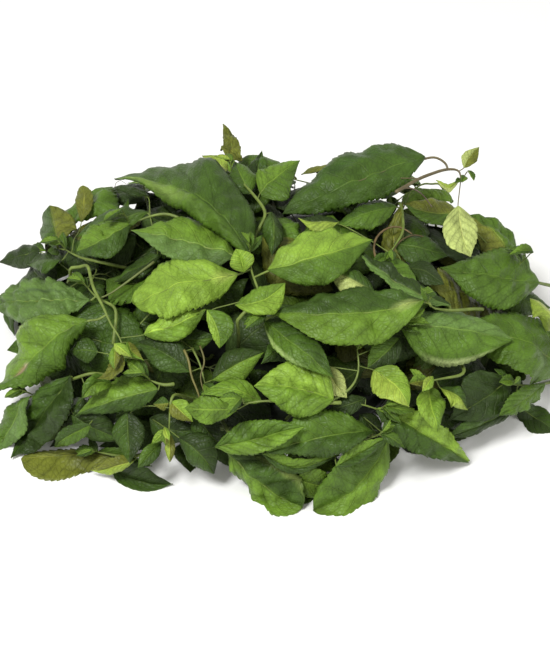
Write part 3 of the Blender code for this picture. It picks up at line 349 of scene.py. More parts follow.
class Pile:
    """The highest surface laid so far, on a grid of rays."""

    def __init__(self):
        side = int(2 * MAP_HALF / CELL)
        self.top = np.full((side, side), NOTHING)
        self.near = self.top

    def cells(self, p, q):
        """Row and column of the cell at each place, kept inside the grid."""
        last = self.top.shape[0] - 1
        i = np.clip(((p + MAP_HALF) / CELL).astype(int), 0, last)
        j = np.clip(((q + MAP_HALF) / CELL).astype(int), 0, last)
        return i, j

    def add(self, p, q, height):
        """Raises the cells at these places to at least these heights."""
        np.maximum.at(self.top, self.cells(p, q), height)

    def spread(self):
        """Takes the highest of each cell and those round it."""
        padded = np.pad(self.top, 1, constant_values=NOTHING)
        side = self.top.shape[0]
        shifts = [padded[i:i + side, j:j + side] for i in range(3) for j in range(3)]
        self.near = np.max(shifts, axis=0)

    def under(self, p, q):
        """The highest surface at or beside each place."""
        return self.near[self.cells(p, q)]


def sheet_triangles(rows, columns):
    """Triangles of a grid, with the diagonals of its left and right halves mirrored."""
    found = []
    for i in range(rows - 1):
        for j in range(columns - 1):
            a, b = i * columns + j, i * columns + j + 1
            d, c = a + columns, b + columns
            if 2 * j < columns - 1:
                found += [(a, b, c), (a, c, d)]
            else:
                found += [(a, b, d), (b, c, d)]
    return np.array(found)


def spread_weights(corners, count, parts):
    """Weights of evenly spread points of triangles, or of segments, over their corner points."""
    steps = np.arange(parts + 1) / parts
    if corners.shape[1] == 2:
        local = np.stack([1 - steps, steps], -1)
    else:
        u, v = np.meshgrid(steps, steps)
        inside = u + v <= 1 + 1e-9
        local = np.stack([1 - u[inside] - v[inside], u[inside], v[inside]], -1)
    weights = np.zeros((len(corners), len(local), count))
    for k in range(corners.shape[1]):
        weights[np.arange(len(corners))[:, None], np.arange(len(local)), corners[:, k:k + 1]] += local[:, k]
    return weights.reshape(-1, count)


def ray_clearance(points, normals, clear):
    """How much height in the fan keeps a surface this far clear of another."""
    rays = unit(points + np.array([0, 0, RAY_DEPTH]))
    facing = np.maximum(np.abs((normals * rays).sum(-1)), LEAST_FACING)
    scale = RAY_DEPTH / (points[..., 2] + RAY_DEPTH)
    return clear * rays[..., 2] / facing * scale ** 2


def settle(fan, weights, need, links, stiffness, pinned):
    """Raises points until the places between them, as weighted sums, are as high as needed, and their
    neighbours enough to keep the slope against the shape wished for within the stiffness."""
    wished = fan[:, 2]
    height = wished.copy()
    free = weights * ~pinned
    reachable = free.sum(1) > LEAST_FREE
    weights, need, free = weights[reachable], need[reachable], free[reachable]
    squares = (free ** 2).sum(1)[:, None]
    spans = np.linalg.norm(fan[links[:, 0], :2] - fan[links[:, 1], :2], axis=1)
    for _ in range(SETTLE_ROUNDS):
        short = np.maximum(need - weights @ height, 0)
        if short.max(initial=0) < 1e-5:
            break
        height = height + (short[:, None] * free / squares).max(0)
    for _ in range(ENVELOPE_ROUNDS):
        lift = height - wished
        lower = lift.copy()
        np.maximum.at(lower, links[:, 0], lift[links[:, 1]] - stiffness * spans)
        np.maximum.at(lower, links[:, 1], lift[links[:, 0]] - stiffness * spans)
        height = np.where(pinned, height, wished + lower)
    return height


# Leaves and stems as points


def rib_points(points, rows):
    """A smooth curve through points, at shares of its length."""
    points = np.asarray(points, float)
    spans = np.linalg.norm(np.diff(points, axis=0), axis=1)
    at = np.concatenate([[0], np.cumsum(spans)]) / spans.sum()
    curve = [np.polyfit(at, points[:, k], len(points) - 1) for k in range(points.shape[1])]
    places = np.stack([np.polyval(c, rows) for c in curve], -1)
    slopes = np.stack([np.polyval(np.polyder(c), rows) for c in curve], -1)
    return places, unit(slopes)


def edge_shape(random, rows):
    """The toothed width and the waved height of both edges at each row."""
    teeth = 1 + TOOTH * np.where(np.arange(len(rows)) % 2, 1, -1)
    waves = random.uniform(-EDGE_WAVE, EDGE_WAVE, (2, len(rows)))
    waves[:, 0] = 0
    waves[:, -1] = 0
    return teeth, waves


def seen_leaf(random, rib, left, right, lifts, cup, stalk):
    """A leaf placed by the front view: the grid of its points, and how many of its rows are stalk."""
    level = next(k for k, least in enumerate(ROWS_FROM_PIXELS) if left + right >= least)
    rows, widths = (np.array(values) for values in BLADE_ROWS[level])
    places, slopes = rib_points(rib, rows)
    sideways = np.stack([slopes[:, 1], -slopes[:, 0]], -1)
    teeth, waves = edge_shape(random, rows)
    share = widths * teeth
    half_stalk = STALK_WIDTH / 2 * PIXELS_PER_METRE
    to_left = np.maximum(left * share, half_stalk)[:, None] * sideways
    to_right = np.maximum(right * share, half_stalk)[:, None] * sideways
    pixels = np.stack([places + to_left, places, places - to_right], 1)
    along = np.interp(rows, (0, 0.5, 1), lifts) * MM
    raised = cup * MM * widths
    heights = np.stack([along + raised + waves[0], along, along + raised + waves[1]], 1)
    if stalk:
        stalk_places = np.array(stalk, float)
        ends = np.concatenate([stalk_places, places[:1]])
        turn = unit(np.diff(ends, axis=0))
        turn = np.stack([turn[:, 1], -turn[:, 0]], -1)[:, None] * half_stalk
        side = np.array([1.0, 0.0, -1.0])[None, :, None]
        pixels = np.concatenate([stalk_places[:, None] + turn * side, pixels])
        heights = np.concatenate([np.full((len(stalk), 3), lifts[0] * MM), heights])
    middle, _ = rib_points(rib, np.array([BLADE_MIDDLE]))
    centre = dome_points(middle[0], lifts[1] * MM)
    toward = -sight_lines(middle[0])
    normal = dome_normals(centre)
    facing = normal @ toward
    if facing < math.cos(MOST_TILT):
        aside = unit(normal - facing * toward)
        normal = math.cos(MOST_TILT) * toward + math.sin(MOST_TILT) * aside
    lines = sight_lines(pixels)
    offset = heights - lifts[1] * MM
    bend = np.zeros(offset.shape)
    for _ in range(BEND_ROUNDS):
        points = EYE + ((((centre - EYE) @ normal + offset - bend) / (lines @ normal))[..., None] * lines)
        bend = np.minimum(((points - centre) ** 2).sum(-1) / (2 * BLADE_BEND_RADIUS), MOST_BEND)
    return above_ground(points, lines, BLADE_THICKNESS / 2), len(stalk)


def shell_point(points, share):
    """Points moved along lines from the heap's middle to the dome at this share of its size."""
    reach = np.sqrt(((points / HALF_SIZES) ** 2).sum(-1, keepdims=True))
    return points / reach * share


def outward(turn, rise):
    """The direction with this turn round the heap and this rise above level."""
    flat = math.cos(rise)
    return np.array([math.cos(turn) * flat, math.sin(turn) * flat, math.sin(rise)])


def rooted(root, grid):
    """A leaf's grid with a first row that lies at its root on the stem."""
    return np.concatenate([np.repeat(root[None, None], 3, 1), grid])


def ruled_leaf(random, start, direction, normal, length, share):
    """A leaf placed by rule on an inner or outer dome, or on the ground where share is 0."""
    rows, widths = (np.array(values) for values in BLADE_ROWS[3 if share < OUTER_SHARE else 2])
    teeth, waves = edge_shape(random, rows)
    across = unit(np.cross(normal, direction))
    stalk = length * random.uniform(0.16, 0.26)
    curl = random.uniform(-0.35, 0.35)
    along = stalk + rows * (length - stalk)
    sway = curl * length * rows ** 2 / 2
    centre = start + along[:, None] * direction + sway[:, None] * across
    half = np.maximum(RULED_LEAF_SHAPE * length * widths * teeth, STALK_WIDTH / 2)
    side = np.array([1.0, 0.0, -1.0])
    points = centre[:, None] + (half[:, None] * side)[..., None] * across
    if share == 0:
        for shorter in np.linspace(1, 0.4, 13):
            tip = start + shorter * (points[-1, 1] - start)
            if np.hypot(*(tip / HALF_SIZES)[:2]) <= BASE_REACH:
                break
        points = start + shorter * (points - start)
        points[..., 2] = BLADE_THICKNESS / 2
        return points
    rise_and_fall = (0.001, random.uniform(0.002, 0.006), random.uniform(-0.004, 0.003))
    lift = np.interp(rows, (0, 0.5, 1), rise_and_fall)
    fold = random.uniform(-0.005, 0.004) * widths
    heights = lift[:, None] + np.stack([fold + waves[0], fold * 0, fold + waves[1]], 1)
    onto = shell_point(points, share)
    return onto + heights[..., None] * dome_normals(onto)


def seen_stem(random, raised, name, pixels, lift, leaves):
    """The points of a stem and its leaves, placed by the front view and raised by millimetres."""
    pixels = np.array(pixels, float)
    line = dome_points(pixels, np.full(len(pixels), (lift + raised[0]) * MM))
    line = above_ground(line, sight_lines(pixels), STEM_RADIUS)
    spans = np.linalg.norm(np.diff(pixels, axis=0), axis=1)
    at = np.concatenate([[0], np.cumsum(spans)]) / spans.sum()
    fine = np.linspace(0.04, 0.96, 60)
    fine_pixels = points_at(fine, at, pixels)
    grids = []
    for (rib, left, right, lifts, cup, stalk, _), more in zip(leaves, raised[1:]):
        grid, stalk_rows = seen_leaf(random, rib, left, right, np.add(lifts, more), cup, stalk)
        first = stalk[0] if stalk else rib[0]
        nearest = fine[np.argmin(np.linalg.norm(fine_pixels - np.array(first), axis=1))]
        grids.append((grid, stalk_rows, nearest))
    return name, line, at, grids


def ruled_stem(random, name, share, turn, rise, pairs, length):
    """The points of a stem and its leaves, placed by rule."""
    grids = []
    stem_length = RULED_STEM_LENGTH * random.uniform(0.85, 1.15)
    if share == 0:
        middle = np.array([BASE_RING[0] * math.cos(turn), BASE_RING[1] * math.sin(turn), STEM_RADIUS])
        normal = np.array([0.0, 0.0, 1.0])
        heading = turn + random.uniform(-0.4, 0.4)
        direction = np.array([math.cos(heading), math.sin(heading), 0])
    else:
        middle = HALF_SIZES * share * outward(turn, rise)
        normal = dome_normals(middle)
        level = unit(np.cross([0, 0, 1.0], normal))
        upward = np.cross(normal, level)
        heading = random.uniform(0, 2 * math.pi)
        if rise < LOW_RISE:
            heading = random.choice([-1, 1]) * random.uniform(0.15, 0.7) + random.choice([0, math.pi])
        direction = math.cos(heading) * level + math.sin(heading) * upward
    at = np.linspace(0, 1, 5)
    line = middle + (at - 0.5)[:, None] * stem_length * direction
    if share:
        line = shell_point(line, share)
    line[:, 2] = np.maximum(line[:, 2], STEM_RADIUS)
    across = np.cross(normal, direction)
    places = np.linspace(0.3, 0.84, pairs)
    for k, place in enumerate(places):
        start = line[0] + (line[-1] - line[0]) * place
        for side in (-1, 1):
            angle = side * random.uniform(0.75, 1.25)
            aim = unit(math.cos(angle) * direction + math.sin(angle) * across)
            size = length * random.uniform(0.86, 1.14) * (1 - 0.14 * k)
            grids.append((ruled_leaf(random, start, aim, normal, size, share), 0, place))
    aim = unit(direction + random.uniform(-0.3, 0.3) * across)
    size = length * random.uniform(0.6, 0.85)
    grids.append((ruled_leaf(random, line[-1], aim, normal, size, share), 0, 0.96))
    return name, line, at, grids


def heart_stem(random):
    """The points of the heart's stem, which its core hides, and of the leaves that stand out of it."""
    at = np.linspace(0, 1, 3)
    reach = HALF_SIZES[0] * HEART_SHARE / 2
    line = np.stack([(2 * at - 1) * reach, 0 * at, 0 * at + HALF_SIZES[2] * HEART_SHARE / 2], -1)
    grids = []
    for k in range(HEART_LEAVES):
        rise = math.radians(random.uniform(8, 70))
        start = HALF_SIZES * HEART_SHARE * outward(k * GOLDEN_TURN, rise)
        normal = dome_normals(start)
        aim = random.normal(0, 1, 3)
        aim = unit(unit(aim - (aim @ normal) * normal) + HEART_LEAN * normal)
        leaf = ruled_leaf(random, start, aim, normal, random.uniform(0.07, 0.09), HEART_SHARE + 0.05)
        grids.append((leaf, 0, np.clip((start[0] / reach + 1) / 2, 0.1, 0.9)))
    return "heart", line, at, grids


def ring_faces(rings, sides):
    """Triangles of a closed form of rings, whose foot and crown points come after those of the rings."""
    number = np.arange(rings * sides).reshape(rings, sides)
    turned = np.roll(number, -1, axis=1)
    a, b, c, d = number[:-1].ravel(), turned[:-1].ravel(), turned[1:].ravel(), number[1:].ravel()
    foot, crown = np.full(sides, number.size), np.full(sides, number.size + 1)
    return np.concatenate([
        np.stack([a, b, c], -1), np.stack([a, c, d], -1),
        np.stack([turned[0], number[0], foot], -1), np.stack([number[-1], turned[-1], crown], -1),
    ])


def heart_core():
    """Points and faces of the core: a low creased dome with a flat underside."""
    turns = np.arange(HEART_TURNS) * 2 * math.pi / HEART_TURNS
    rings = []
    for k, rise in enumerate(np.radians(HEART_RISES)):
        crease = HEART_SHARE * (1 + HEART_CREASE * np.cos(turns * 5 + k * 2.4))
        flat = math.cos(rise)
        ring = np.stack([flat * np.cos(turns), flat * np.sin(turns), 0 * turns + math.sin(rise)], -1)
        rings.append(ring * HALF_SIZES * crease[:, None])
    rings[0][:, 2] = HEART_BOTTOM
    points = np.concatenate(rings + [[[0, 0, HEART_BOTTOM]], [[0, 0, HALF_SIZES[2] * HEART_SHARE]]])
    return points, ring_faces(len(rings), HEART_TURNS)


def grid_normals(points):
    """Normals of a grid of points, pointing away from the heap's middle."""
    along = np.gradient(points, axis=0)
    across = np.gradient(points, axis=1)
    normals = unit(np.cross(along, across))
    facing = (normals * (points + np.array([0, 0, RAY_DEPTH]))).sum()
    return normals if facing > 0 else -normals


def settle_stem(pile, random, most_lift, name, line, at, grids):
    """One leafy stem laid on the pile, without the leaves that would be raised by more than most_lift; its
    points and faces for the pile; and the mean lift of its leaves."""
    radius = np.linspace(STEM_RADIUS, STEM_END_RADIUS, len(line))
    fan = to_fan(np.concatenate([line[:, :2], np.maximum(line[:, 2:], radius[:, None])], 1))
    links = np.stack([np.arange(len(line) - 1), np.arange(1, len(line))], -1)
    clear = ray_clearance(line, unit(line + [0, 0, RAY_DEPTH]), radius + GAP / 2)
    weights = spread_weights(links, len(line), FINE_SAMPLES)
    need = pile.under(weights @ fan[:, 0], weights @ fan[:, 1]) + weights @ clear
    for grid, _, place in grids:
        root = np.array([np.interp(place, at, np.eye(len(line))[k]) for k in range(len(line))])
        stalk = root @ fan + np.linspace(0, 1 - LEAST_FREE, ROOT_SAMPLES)[:, None] * (
            to_fan(grid[0, 1]) - root @ fan)
        weights = np.concatenate([weights, np.repeat(root[None], ROOT_SAMPLES, 0)])
        need = np.concatenate([need, pile.under(stalk[:, 0], stalk[:, 1]) + root @ clear])
    fan[:, 2] = settle(fan, weights, need, links, STEM_STIFFNESS, np.zeros(len(line), bool))
    line = from_fan(fan)
    laid = [(fan, links, clear)]
    own = Pile()
    leaves, lifts = [], []
    for grid, stalk_rows, place in grids:
        root = points_at(place, at, line) + random.uniform(-ROOT_SHIFT, ROOT_SHIFT, 3)
        grid = rooted(root, grid)
        narrow = 1 + stalk_rows
        first = unit(grid[1, 0] - grid[1, 2]) * STALK_WIDTH / 2
        grid[0] += np.array([1.0, 0.0, -1.0])[:, None] * first
        grid[..., 2] = np.maximum(grid[..., 2], BLADE_THICKNESS / 2)
        rows, columns = grid.shape[:2]
        flat_fan = to_fan(grid).reshape(-1, 3)
        normals = grid_normals(grid)
        clear = ray_clearance(grid, normals, (BLADE_THICKNESS + GAP) / 2)
        clear[:narrow + 1] += (STALK_THICKNESS - BLADE_THICKNESS) / 2
        clear = clear.reshape(-1)
        corners = sheet_triangles(rows, columns)
        number = np.arange(rows * columns).reshape(rows, columns)
        links = np.concatenate([
            np.stack([number[:-1].ravel(), number[1:].ravel()], -1),
            np.stack([number[:, :-1].ravel(), number[:, 1:].ravel()], -1),
        ])
        pinned = number.ravel() < columns
        blade = (number.ravel() >= columns * (narrow + 1)).astype(float)
        weights = spread_weights(corners, rows * columns, TEST_SAMPLES)
        p, q = weights @ flat_fan[:, 0], weights @ flat_fan[:, 1]
        need = pile.under(p, q)
        need = np.where(weights @ blade > 0.999, np.maximum(need, own.under(p, q)), need)
        height = settle(flat_fan, weights, need + weights @ clear, links, LEAF_STIFFNESS, pinned)
        height = height.reshape(rows, columns)
        lift = height - flat_fan[:, 2].reshape(rows, columns)
        together = list(range(1, narrow + 1)) + [rows - 1]
        lift[together] = lift[together].max(1, keepdims=True)
        flat_fan[:, 2] += lift.ravel()
        raised = np.linalg.norm(from_fan(flat_fan) - grid.reshape(-1, 3), axis=1)[columns:].max()
        if raised > most_lift:
            continue
        lifts.append(raised)
        laid.append((flat_fan, corners, clear))
        weights = spread_weights(corners[4 * narrow:], rows * columns, FINE_SAMPLES)
        own.add(weights @ flat_fan[:, 0], weights @ flat_fan[:, 1], weights @ (flat_fan[:, 2] + clear))
        own.spread()
        leaves.append((from_fan(flat_fan).reshape(rows, columns, 3), narrow))
    if name == "heart":
        core, core_faces = heart_core()
        laid.append((to_fan(core), core_faces, np.full(len(core), GAP)))
    return (name, line, radius, leaves), laid, sum(lifts) / max(len(lifts), 1)


def lay(pile, laid):
    """Adds a settled stem to the pile's top."""
    for fan, corners, clear in laid:
        weights = spread_weights(corners, len(fan), FINE_SAMPLES)
        pile.add(weights @ fan[:, 0], weights @ fan[:, 1], weights @ (fan[:, 2] + clear))
    pile.spread()


def lifts_of(stem, done):
    """How far a laid stem and each of its leaves stand above where they were wished to be."""
    _, line, _, grids = stem
    lifts = [((done[1] - line) * dome_normals(line)).sum(-1).mean()]
    for (grid, stalk_rows, _), (settled, _) in zip(grids, done[3]):
        blade, landed = grid[stalk_rows:], settled[1 + stalk_rows:]
        along = ((landed - blade) * dome_normals(blade)).sum(-1).mean(1)
        lifts.append(np.interp((0, 0.5, 1), np.linspace(0, 1, len(along)), along))
    return lifts


def ruled_layout(pile, random):
    """The stems placed by rule, each the best of several tries: most leaves kept, then least lift."""
    found = []
    order = sorted(RULED_STEMS, key=lambda rule: rule[2] > 0)
    for name, count, share, turns, rises, pairs, length in order:
        for k in range(count):
            turn = math.radians(turns[0] + (turns[1] - turns[0]) * (k + 0.5) / count)
            rise = math.radians(rises[0] + (rises[1] - rises[0]) * ((k * 0.618 + 0.31) % 1))
            tries = []
            for _ in range(RULED_TRIES):
                stem = ruled_stem(random, f"{name}_{k + 1}", share, turn, rise, pairs, length)
                tries.append(settle_stem(pile, random, MOST_STAND if share else MOST_BASE_STAND, *stem))
            best = max(tries, key=lambda result: len(result[0][3]) - result[2] / LIFT_WORTH_A_LEAF)
            if len(best[0][3]) < FEWEST_LEAVES:
                continue
            found.append(best[0])
            lay(pile, best[1])
        if share == 0:
            heart = settle_stem(pile, random, MOST_STAND, *heart_stem(random))
            found.append(heart[0])
            lay(pile, heart[1])
    return found


def heap_layout():
    """Every leafy stem in the order it is laid: name, stem line, radii and leaf grids."""
    random = np.random.default_rng(SEED)
    under = Pile()
    ruled = ruled_layout(under, random)
    raised = [[0.0] * (1 + len(stem[3])) for stem in SEEN_STEMS]
    for _ in range(PLACING_ROUNDS):
        random = np.random.default_rng(SEED)
        pile = Pile()
        pile.top = under.top.copy()
        pile.spread()
        seen = []
        for k, stem in enumerate(SEEN_STEMS):
            wished = seen_stem(random, raised[k], *stem)
            done, laid, _ = settle_stem(pile, random, math.inf, *wished)
            lay(pile, laid)
            seen.append(done)
            more = [MM_PER_METRE * np.clip(lift, 0, MOST_RAISE) for lift in lifts_of(wished, done)]
            raised[k] = [old + new for old, new in zip(raised[k], more)]
    return ruled + seen


# Fine leaves: lengths in metres, the rest as shares of a blade's length or half width

BASE_TAPER = (0.75, 1.05)
TIP_TAPER = (0.95, 1.4)
ROUND_TAPER = (0.5, 0.7)
TOOTH_PITCH = (3.6 * MM, 4.9 * MM)
TOOTH_DEPTH = (0.35 * MM, 0.95 * MM)
MOST_TEETH = 24
TOOTH_STEPS = np.array([0.0, 0.45, 0.9])
TOOTH_RISE = np.array([-0.6, 0.35, 0.8])
FIRST_TOOTH = 0.06
LAST_TOOTH = 0.985
FEWEST_TEETH = 5
TOOTHED_LENGTH = 0.07
SHEET = 0.4 * MM
VEIN_PAIRS = 6.5
VEIN_SLANT = 0.17
VEIN_CURVE = 0.10
PUFF = 0.012
MIDRIB_SINK = 0.007
MIDRIB_WIDTH = 0.08
BULGE = 0.16
FOLD = (-0.46, 0.02)
ROLL = 0.22
DROOP = (-0.01, 0.025)
WAVE = 0.026
CREASES = 8
CREASE_LENGTHS = (9 * MM, 20 * MM)
CREASE_DEPTH = 1.1 * MM
STRONG_CREASE = 2.1
FULL_LENGTH = 0.08
FINE_GAP = 0.3 * MM
MOST_FINE_LIFT = 0.012
# Where a blade is raised, the lift is first widened, then falls by this much a metre, and is then blurred
FINE_FALL = 0.45
LIFT_ROUNDS = 18
WIDENINGS = 2
BLURRINGS = 12
# The first rows of a blade, which may touch the blades beside it
ROOT_ROWS = 4
PETIOLE_RADIUS = 0.68 * MM
MIDRIB_END_RADIUS = 0.15 * MM
TUBE_SIDES = 8


def smooth_rows(values, at, places):
    """Values known at rising places, carried between them by cubic pieces that keep their slopes."""
    values = np.asarray(values, float)
    at = np.asarray(at, float)
    slopes = np.gradient(values, at, axis=0)
    k = np.clip(np.searchsorted(at, places, side="right") - 1, 0, len(at) - 2)
    span = at[k + 1] - at[k]
    t = (places - at[k]) / span
    shape = (-1,) + (1,) * (values.ndim - 1)
    t, span = t.reshape(shape), span.reshape(shape)
    near = (1 + 2 * t) * (1 - t) ** 2 * values[k] + t * (1 - t) ** 2 * span * slopes[k]
    far = t * t * (3 - 2 * t) * values[k + 1] + t * t * (t - 1) * span * slopes[k + 1]
    return near + far


def blade_places(length, pitch):
    """Rows along a blade, three to a tooth, and how far each row's edge stands out, from -1 to 1."""
    teeth = int(np.clip(round(length / pitch), FEWEST_TEETH, MOST_TEETH))
    step = (LAST_TOOTH - FIRST_TOOTH) / teeth
    places = FIRST_TOOTH + (np.arange(teeth)[:, None] + TOOTH_STEPS).ravel() * step
    rise = np.tile(TOOTH_RISE, teeth)
    return np.concatenate([[0, 0.02], places, [1.0]]), np.concatenate([[0, 0], rise, [0]])


def leaf_outline(random, u, rounded):
    """A blade's width at each row: a narrow base, a broad belly and a drawn-out or rounded tip."""
    base = random.uniform(*BASE_TAPER)
    tip = random.uniform(*(ROUND_TAPER if rounded else TIP_TAPER))
    belly = base / (base + tip)
    width = (u / belly) ** base * ((1 - u) / (1 - belly)) ** tip
    return np.maximum(width, np.where(u < 0.5, 0.025, 0.006))


def creases(random, along, across):
    """Small creases over a blade, from about -1 to 1: a few waves that run in mixed directions."""
    total = 0
    for _ in range(CREASES):
        turn = random.uniform(0, math.pi)
        spacing = random.uniform(*CREASE_LENGTHS)
        phase = (math.cos(turn) * across + math.sin(turn) * along) / spacing + random.uniform(0, 1)
        total = total + np.sin(2 * math.pi * phase)
    return total / math.sqrt(CREASES)


def refined(values, times):
    """A grid with its cells cut evenly, by straight lines."""
    for axis in (0, 1):
        count = values.shape[axis]
        at = np.linspace(0, count - 1, (count - 1) * times + 1)
        k = np.minimum(at.astype(int), count - 2)
        t = (at - k).reshape((-1, 1, 1) if axis == 0 else (1, -1, 1))
        values = np.take(values, k, axis) * (1 - t) + np.take(values, k + 1, axis) * t
    return values


def blurred(values):
    """Each value of a grid mixed with its four neighbours."""
    padded = np.pad(values, 1, mode="edge")
    return (padded[:-2, 1:-1] + padded[2:, 1:-1] + padded[1:-1, :-2] + padded[1:-1, 2:] + 2 * values) / 6


def rest_on(pile, own, points):
    """Raises a fine blade along the rays to clear what is under it, and its neighbours to keep it smooth."""
    fan = to_fan(points)
    normals = grid_normals(points)
    clear = ray_clearance(points, normals, SHEET / 2 + FINE_GAP)
    under = pile.under(fan[..., 0], fan[..., 1])
    beside = own.under(fan[..., 0], fan[..., 1])
    beside[:ROOT_ROWS] = NOTHING
    needed = np.clip(np.maximum(under, beside) + clear - fan[..., 2], 0, MOST_FINE_LIFT)
    gap_along = np.linalg.norm(np.diff(fan[..., :2], axis=0), axis=-1)
    gap_across = np.linalg.norm(np.diff(fan[..., :2], axis=1), axis=-1)
    lift = needed
    for turn in range(LIFT_ROUNDS):
        fall = FINE_FALL if turn >= WIDENINGS else 0
        lift = lift.copy()
        for rows, gap in ((lift, gap_along), (lift.T, gap_across.T)):
            rows[1:] = np.maximum(rows[1:], rows[:-1] - fall * gap)
            rows[:-1] = np.maximum(rows[:-1], rows[1:] - fall * gap)
    for _ in range(BLURRINGS):
        lift = blurred(lift)
    lift = np.maximum(lift, needed - FINE_GAP / 2)
    fan[..., 2] += lift
    return from_fan(fan)


def eased(path, times):
    """A path with its corners eased and its ends kept."""
    for _ in range(times):
        path = np.concatenate([path[:1], (path[:-2] + 2 * path[1:-1] + path[2:]) / 4, path[-1:]])
    return path


def fine_blade(random, pile, own, grid, narrow, halves, creased, rounded):
    """A blade's fine middle surface over its coarse rows, and where each point is on it: the rib, plus its
    spread to either side times the width with its teeth, raised along the normals. The heights are puffs
    between the side veins, less the sunk midrib, plus a bulge over each half, the fold along the rib, a
    droop at the tip, creases, and waves that grow towards the edges."""
    blade = grid[narrow:]
    at, share = BLADE_ROWS[6 - len(blade)]
    teeth = 1 + TOOTH * np.where(np.arange(len(at)) % 2, 1, -1)
    share = np.maximum(np.array(share) * teeth, 0.02)[:, None]
    length = np.linalg.norm(np.diff(blade[:, 1], axis=0), axis=1).sum()
    u, rise = blade_places(length, random.uniform(*TOOTH_PITCH))
    rib = smooth_rows(blade[:, 1], at, u)
    sides = []
    for column in (0, 2):
        spread = (blade[:, column] - blade[:, 1]) / share
        spread[0] = spread[1]
        spread[-1] = spread[-2]
        sides.append(smooth_rows(spread, at, u))
    width = leaf_outline(random, u, rounded)
    steps = np.linspace(0, 1, halves + 1)
    shallower = np.clip(width * 1.8, 0, 1) * np.clip(length / TOOTHED_LENGTH, 0.35, 1)
    notch = rise * random.uniform(*TOOTH_DEPTH) * shallower
    reach = []
    for spread in sides:
        half = np.maximum(np.linalg.norm(spread, axis=1, keepdims=True), 1e-5)
        factor = width[:, None] * steps + notch[:, None] * steps ** 6 / half
        reach.append(factor[..., None] * spread[:, None])
    points = np.concatenate([rib[:, None] + reach[0][:, ::-1], rib[:, None] + reach[1][:, 1:]], 1)
    v = np.concatenate([-steps[::-1], steps[1:]])
    side = np.abs(v)[None]
    down, full = u[:, None], width[:, None]
    half_width = (np.linalg.norm(sides[0], axis=1) + np.linalg.norm(sides[1], axis=1)).mean() / 2
    slant = down - VEIN_SLANT * side - VEIN_CURVE * side ** 2
    phase = slant * VEIN_PAIRS + np.where(v < 0, random.uniform(0.1, 0.3), random.uniform(0.4, 0.6))
    inside = np.clip((side - 0.04) / 0.25, 0, 1) * (1 - side ** 3) * np.clip(full * 2, 0, 1)
    height = PUFF * creased * length * (np.sin(math.pi * (phase % 1)) - 0.4) * inside
    height = height - MIDRIB_SINK * length * np.exp(-(side / MIDRIB_WIDTH) ** 2)
    height = height + BULGE * half_width * 4 * side * (1 - side) * full * random.uniform(0.2, 1.2)
    lean = side * random.uniform(*FOLD) + v * (down - 0.4) * random.uniform(-ROLL, ROLL)
    height = height + half_width * full * lean
    height = height - length * random.uniform(*DROOP) * np.clip((down - 0.6) / 0.4, 0, 1) ** 2
    relief = creases(random, down * length, v * half_width * full)
    grown = min(length / FULL_LENGTH, 1)
    height = height + CREASE_DEPTH * creased * relief * np.clip(full * 2, 0, 1) * grown
    for sign in (-1, 1):
        turns = random.uniform(1.8, 4.4)
        begin = random.uniform(0, 2 * math.pi)
        swell = WAVE * length * random.uniform(0.4, 1.0)
        ripple = swell * side ** 2 * np.sin(2 * math.pi * turns * down + begin) * full
        height = height + np.where(np.sign(v) == sign, ripple, 0)
    points = points + grid_normals(points) * height[..., None]
    points[..., 2] = np.maximum(points[..., 2], SHEET / 2)
    return rest_on(pile, own, points), u, v, phase, relief, length, half_width


def tube(path, radii, facing):
    """A round closed tube of few sides along a path; facing is a direction that the path doesn't follow."""
    along = unit(np.gradient(path, axis=0))
    side = unit(np.cross(along, facing))
    other = np.cross(along, side)
    turns = np.arange(TUBE_SIDES) * 2 * math.pi / TUBE_SIDES
    ring = np.cos(turns)[None, :, None] * side[:, None] + np.sin(turns)[None, :, None] * other[:, None]
    rings = path[:, None] + ring * np.asarray(radii)[:, None, None]
    points = np.concatenate([rings.reshape(-1, 3), path[:1] - along[:1] * radii[0] / 2,
                             path[-1:] + along[-1:] * radii[-1] / 2])
    return outward_mesh(points, ring_faces(len(path), TUBE_SIDES))


def outward_mesh(points, faces):
    """A closed mesh with its faces turned where the volume that they span counts as less than nothing."""
    a, b, c = ((points - points.mean(0))[faces[:, k]] for k in range(3))
    return points, faces if (np.cross(a, b) * c).sum() >= 0 else faces[:, ::-1]


def shell(points):
    """Both faces of a thin sheet and the rim between them."""
    rows, columns = points.shape[:2]
    normals = grid_normals(points)
    both = np.stack([points + normals * SHEET / 2, points - normals * SHEET / 2]).reshape(-1, 3)
    count = rows * columns
    top = sheet_triangles(rows, columns)
    number = np.arange(count).reshape(rows, columns)
    border = np.concatenate([number[0, :-1], number[:-1, -1], number[-1, :0:-1], number[:0:-1, 0]])
    onward = np.roll(border, -1)
    rim = np.concatenate([
        np.stack([border, border + count, onward + count], -1),
        np.stack([border, onward + count, onward], -1),
    ])
    return outward_mesh(both, np.concatenate([top, top[:, ::-1] + count, rim]))


# Pieces: points across each half of a blade, and the painted shade that makes a point darker the deeper it
# lies

HALVES_SEEN = 9
HALVES_RULED = 5
HALVES_BUD = 3
REFINED = 3
SURFACE_BLURS = 90
SHADE_FROM = 2.0 * MM
SHADE_TO = 14.0 * MM
DEEPEST = 0.42
RELIEF_SHADE = 0.07
UNDER_MIX = 0.55
EXTRA_HEART_LEAVES = 60
EXTRA_HEART_LENGTHS = (0.055, 0.08)
CORE_TURNS = 96
CORE_RINGS = 26
CORE_TOP = math.radians(86)
CORE_SHARE = HEART_SHARE * 0.94
STALK_ROWS = 12
HAIRY_ROWS = 14
TIP_ROWS = 0.86
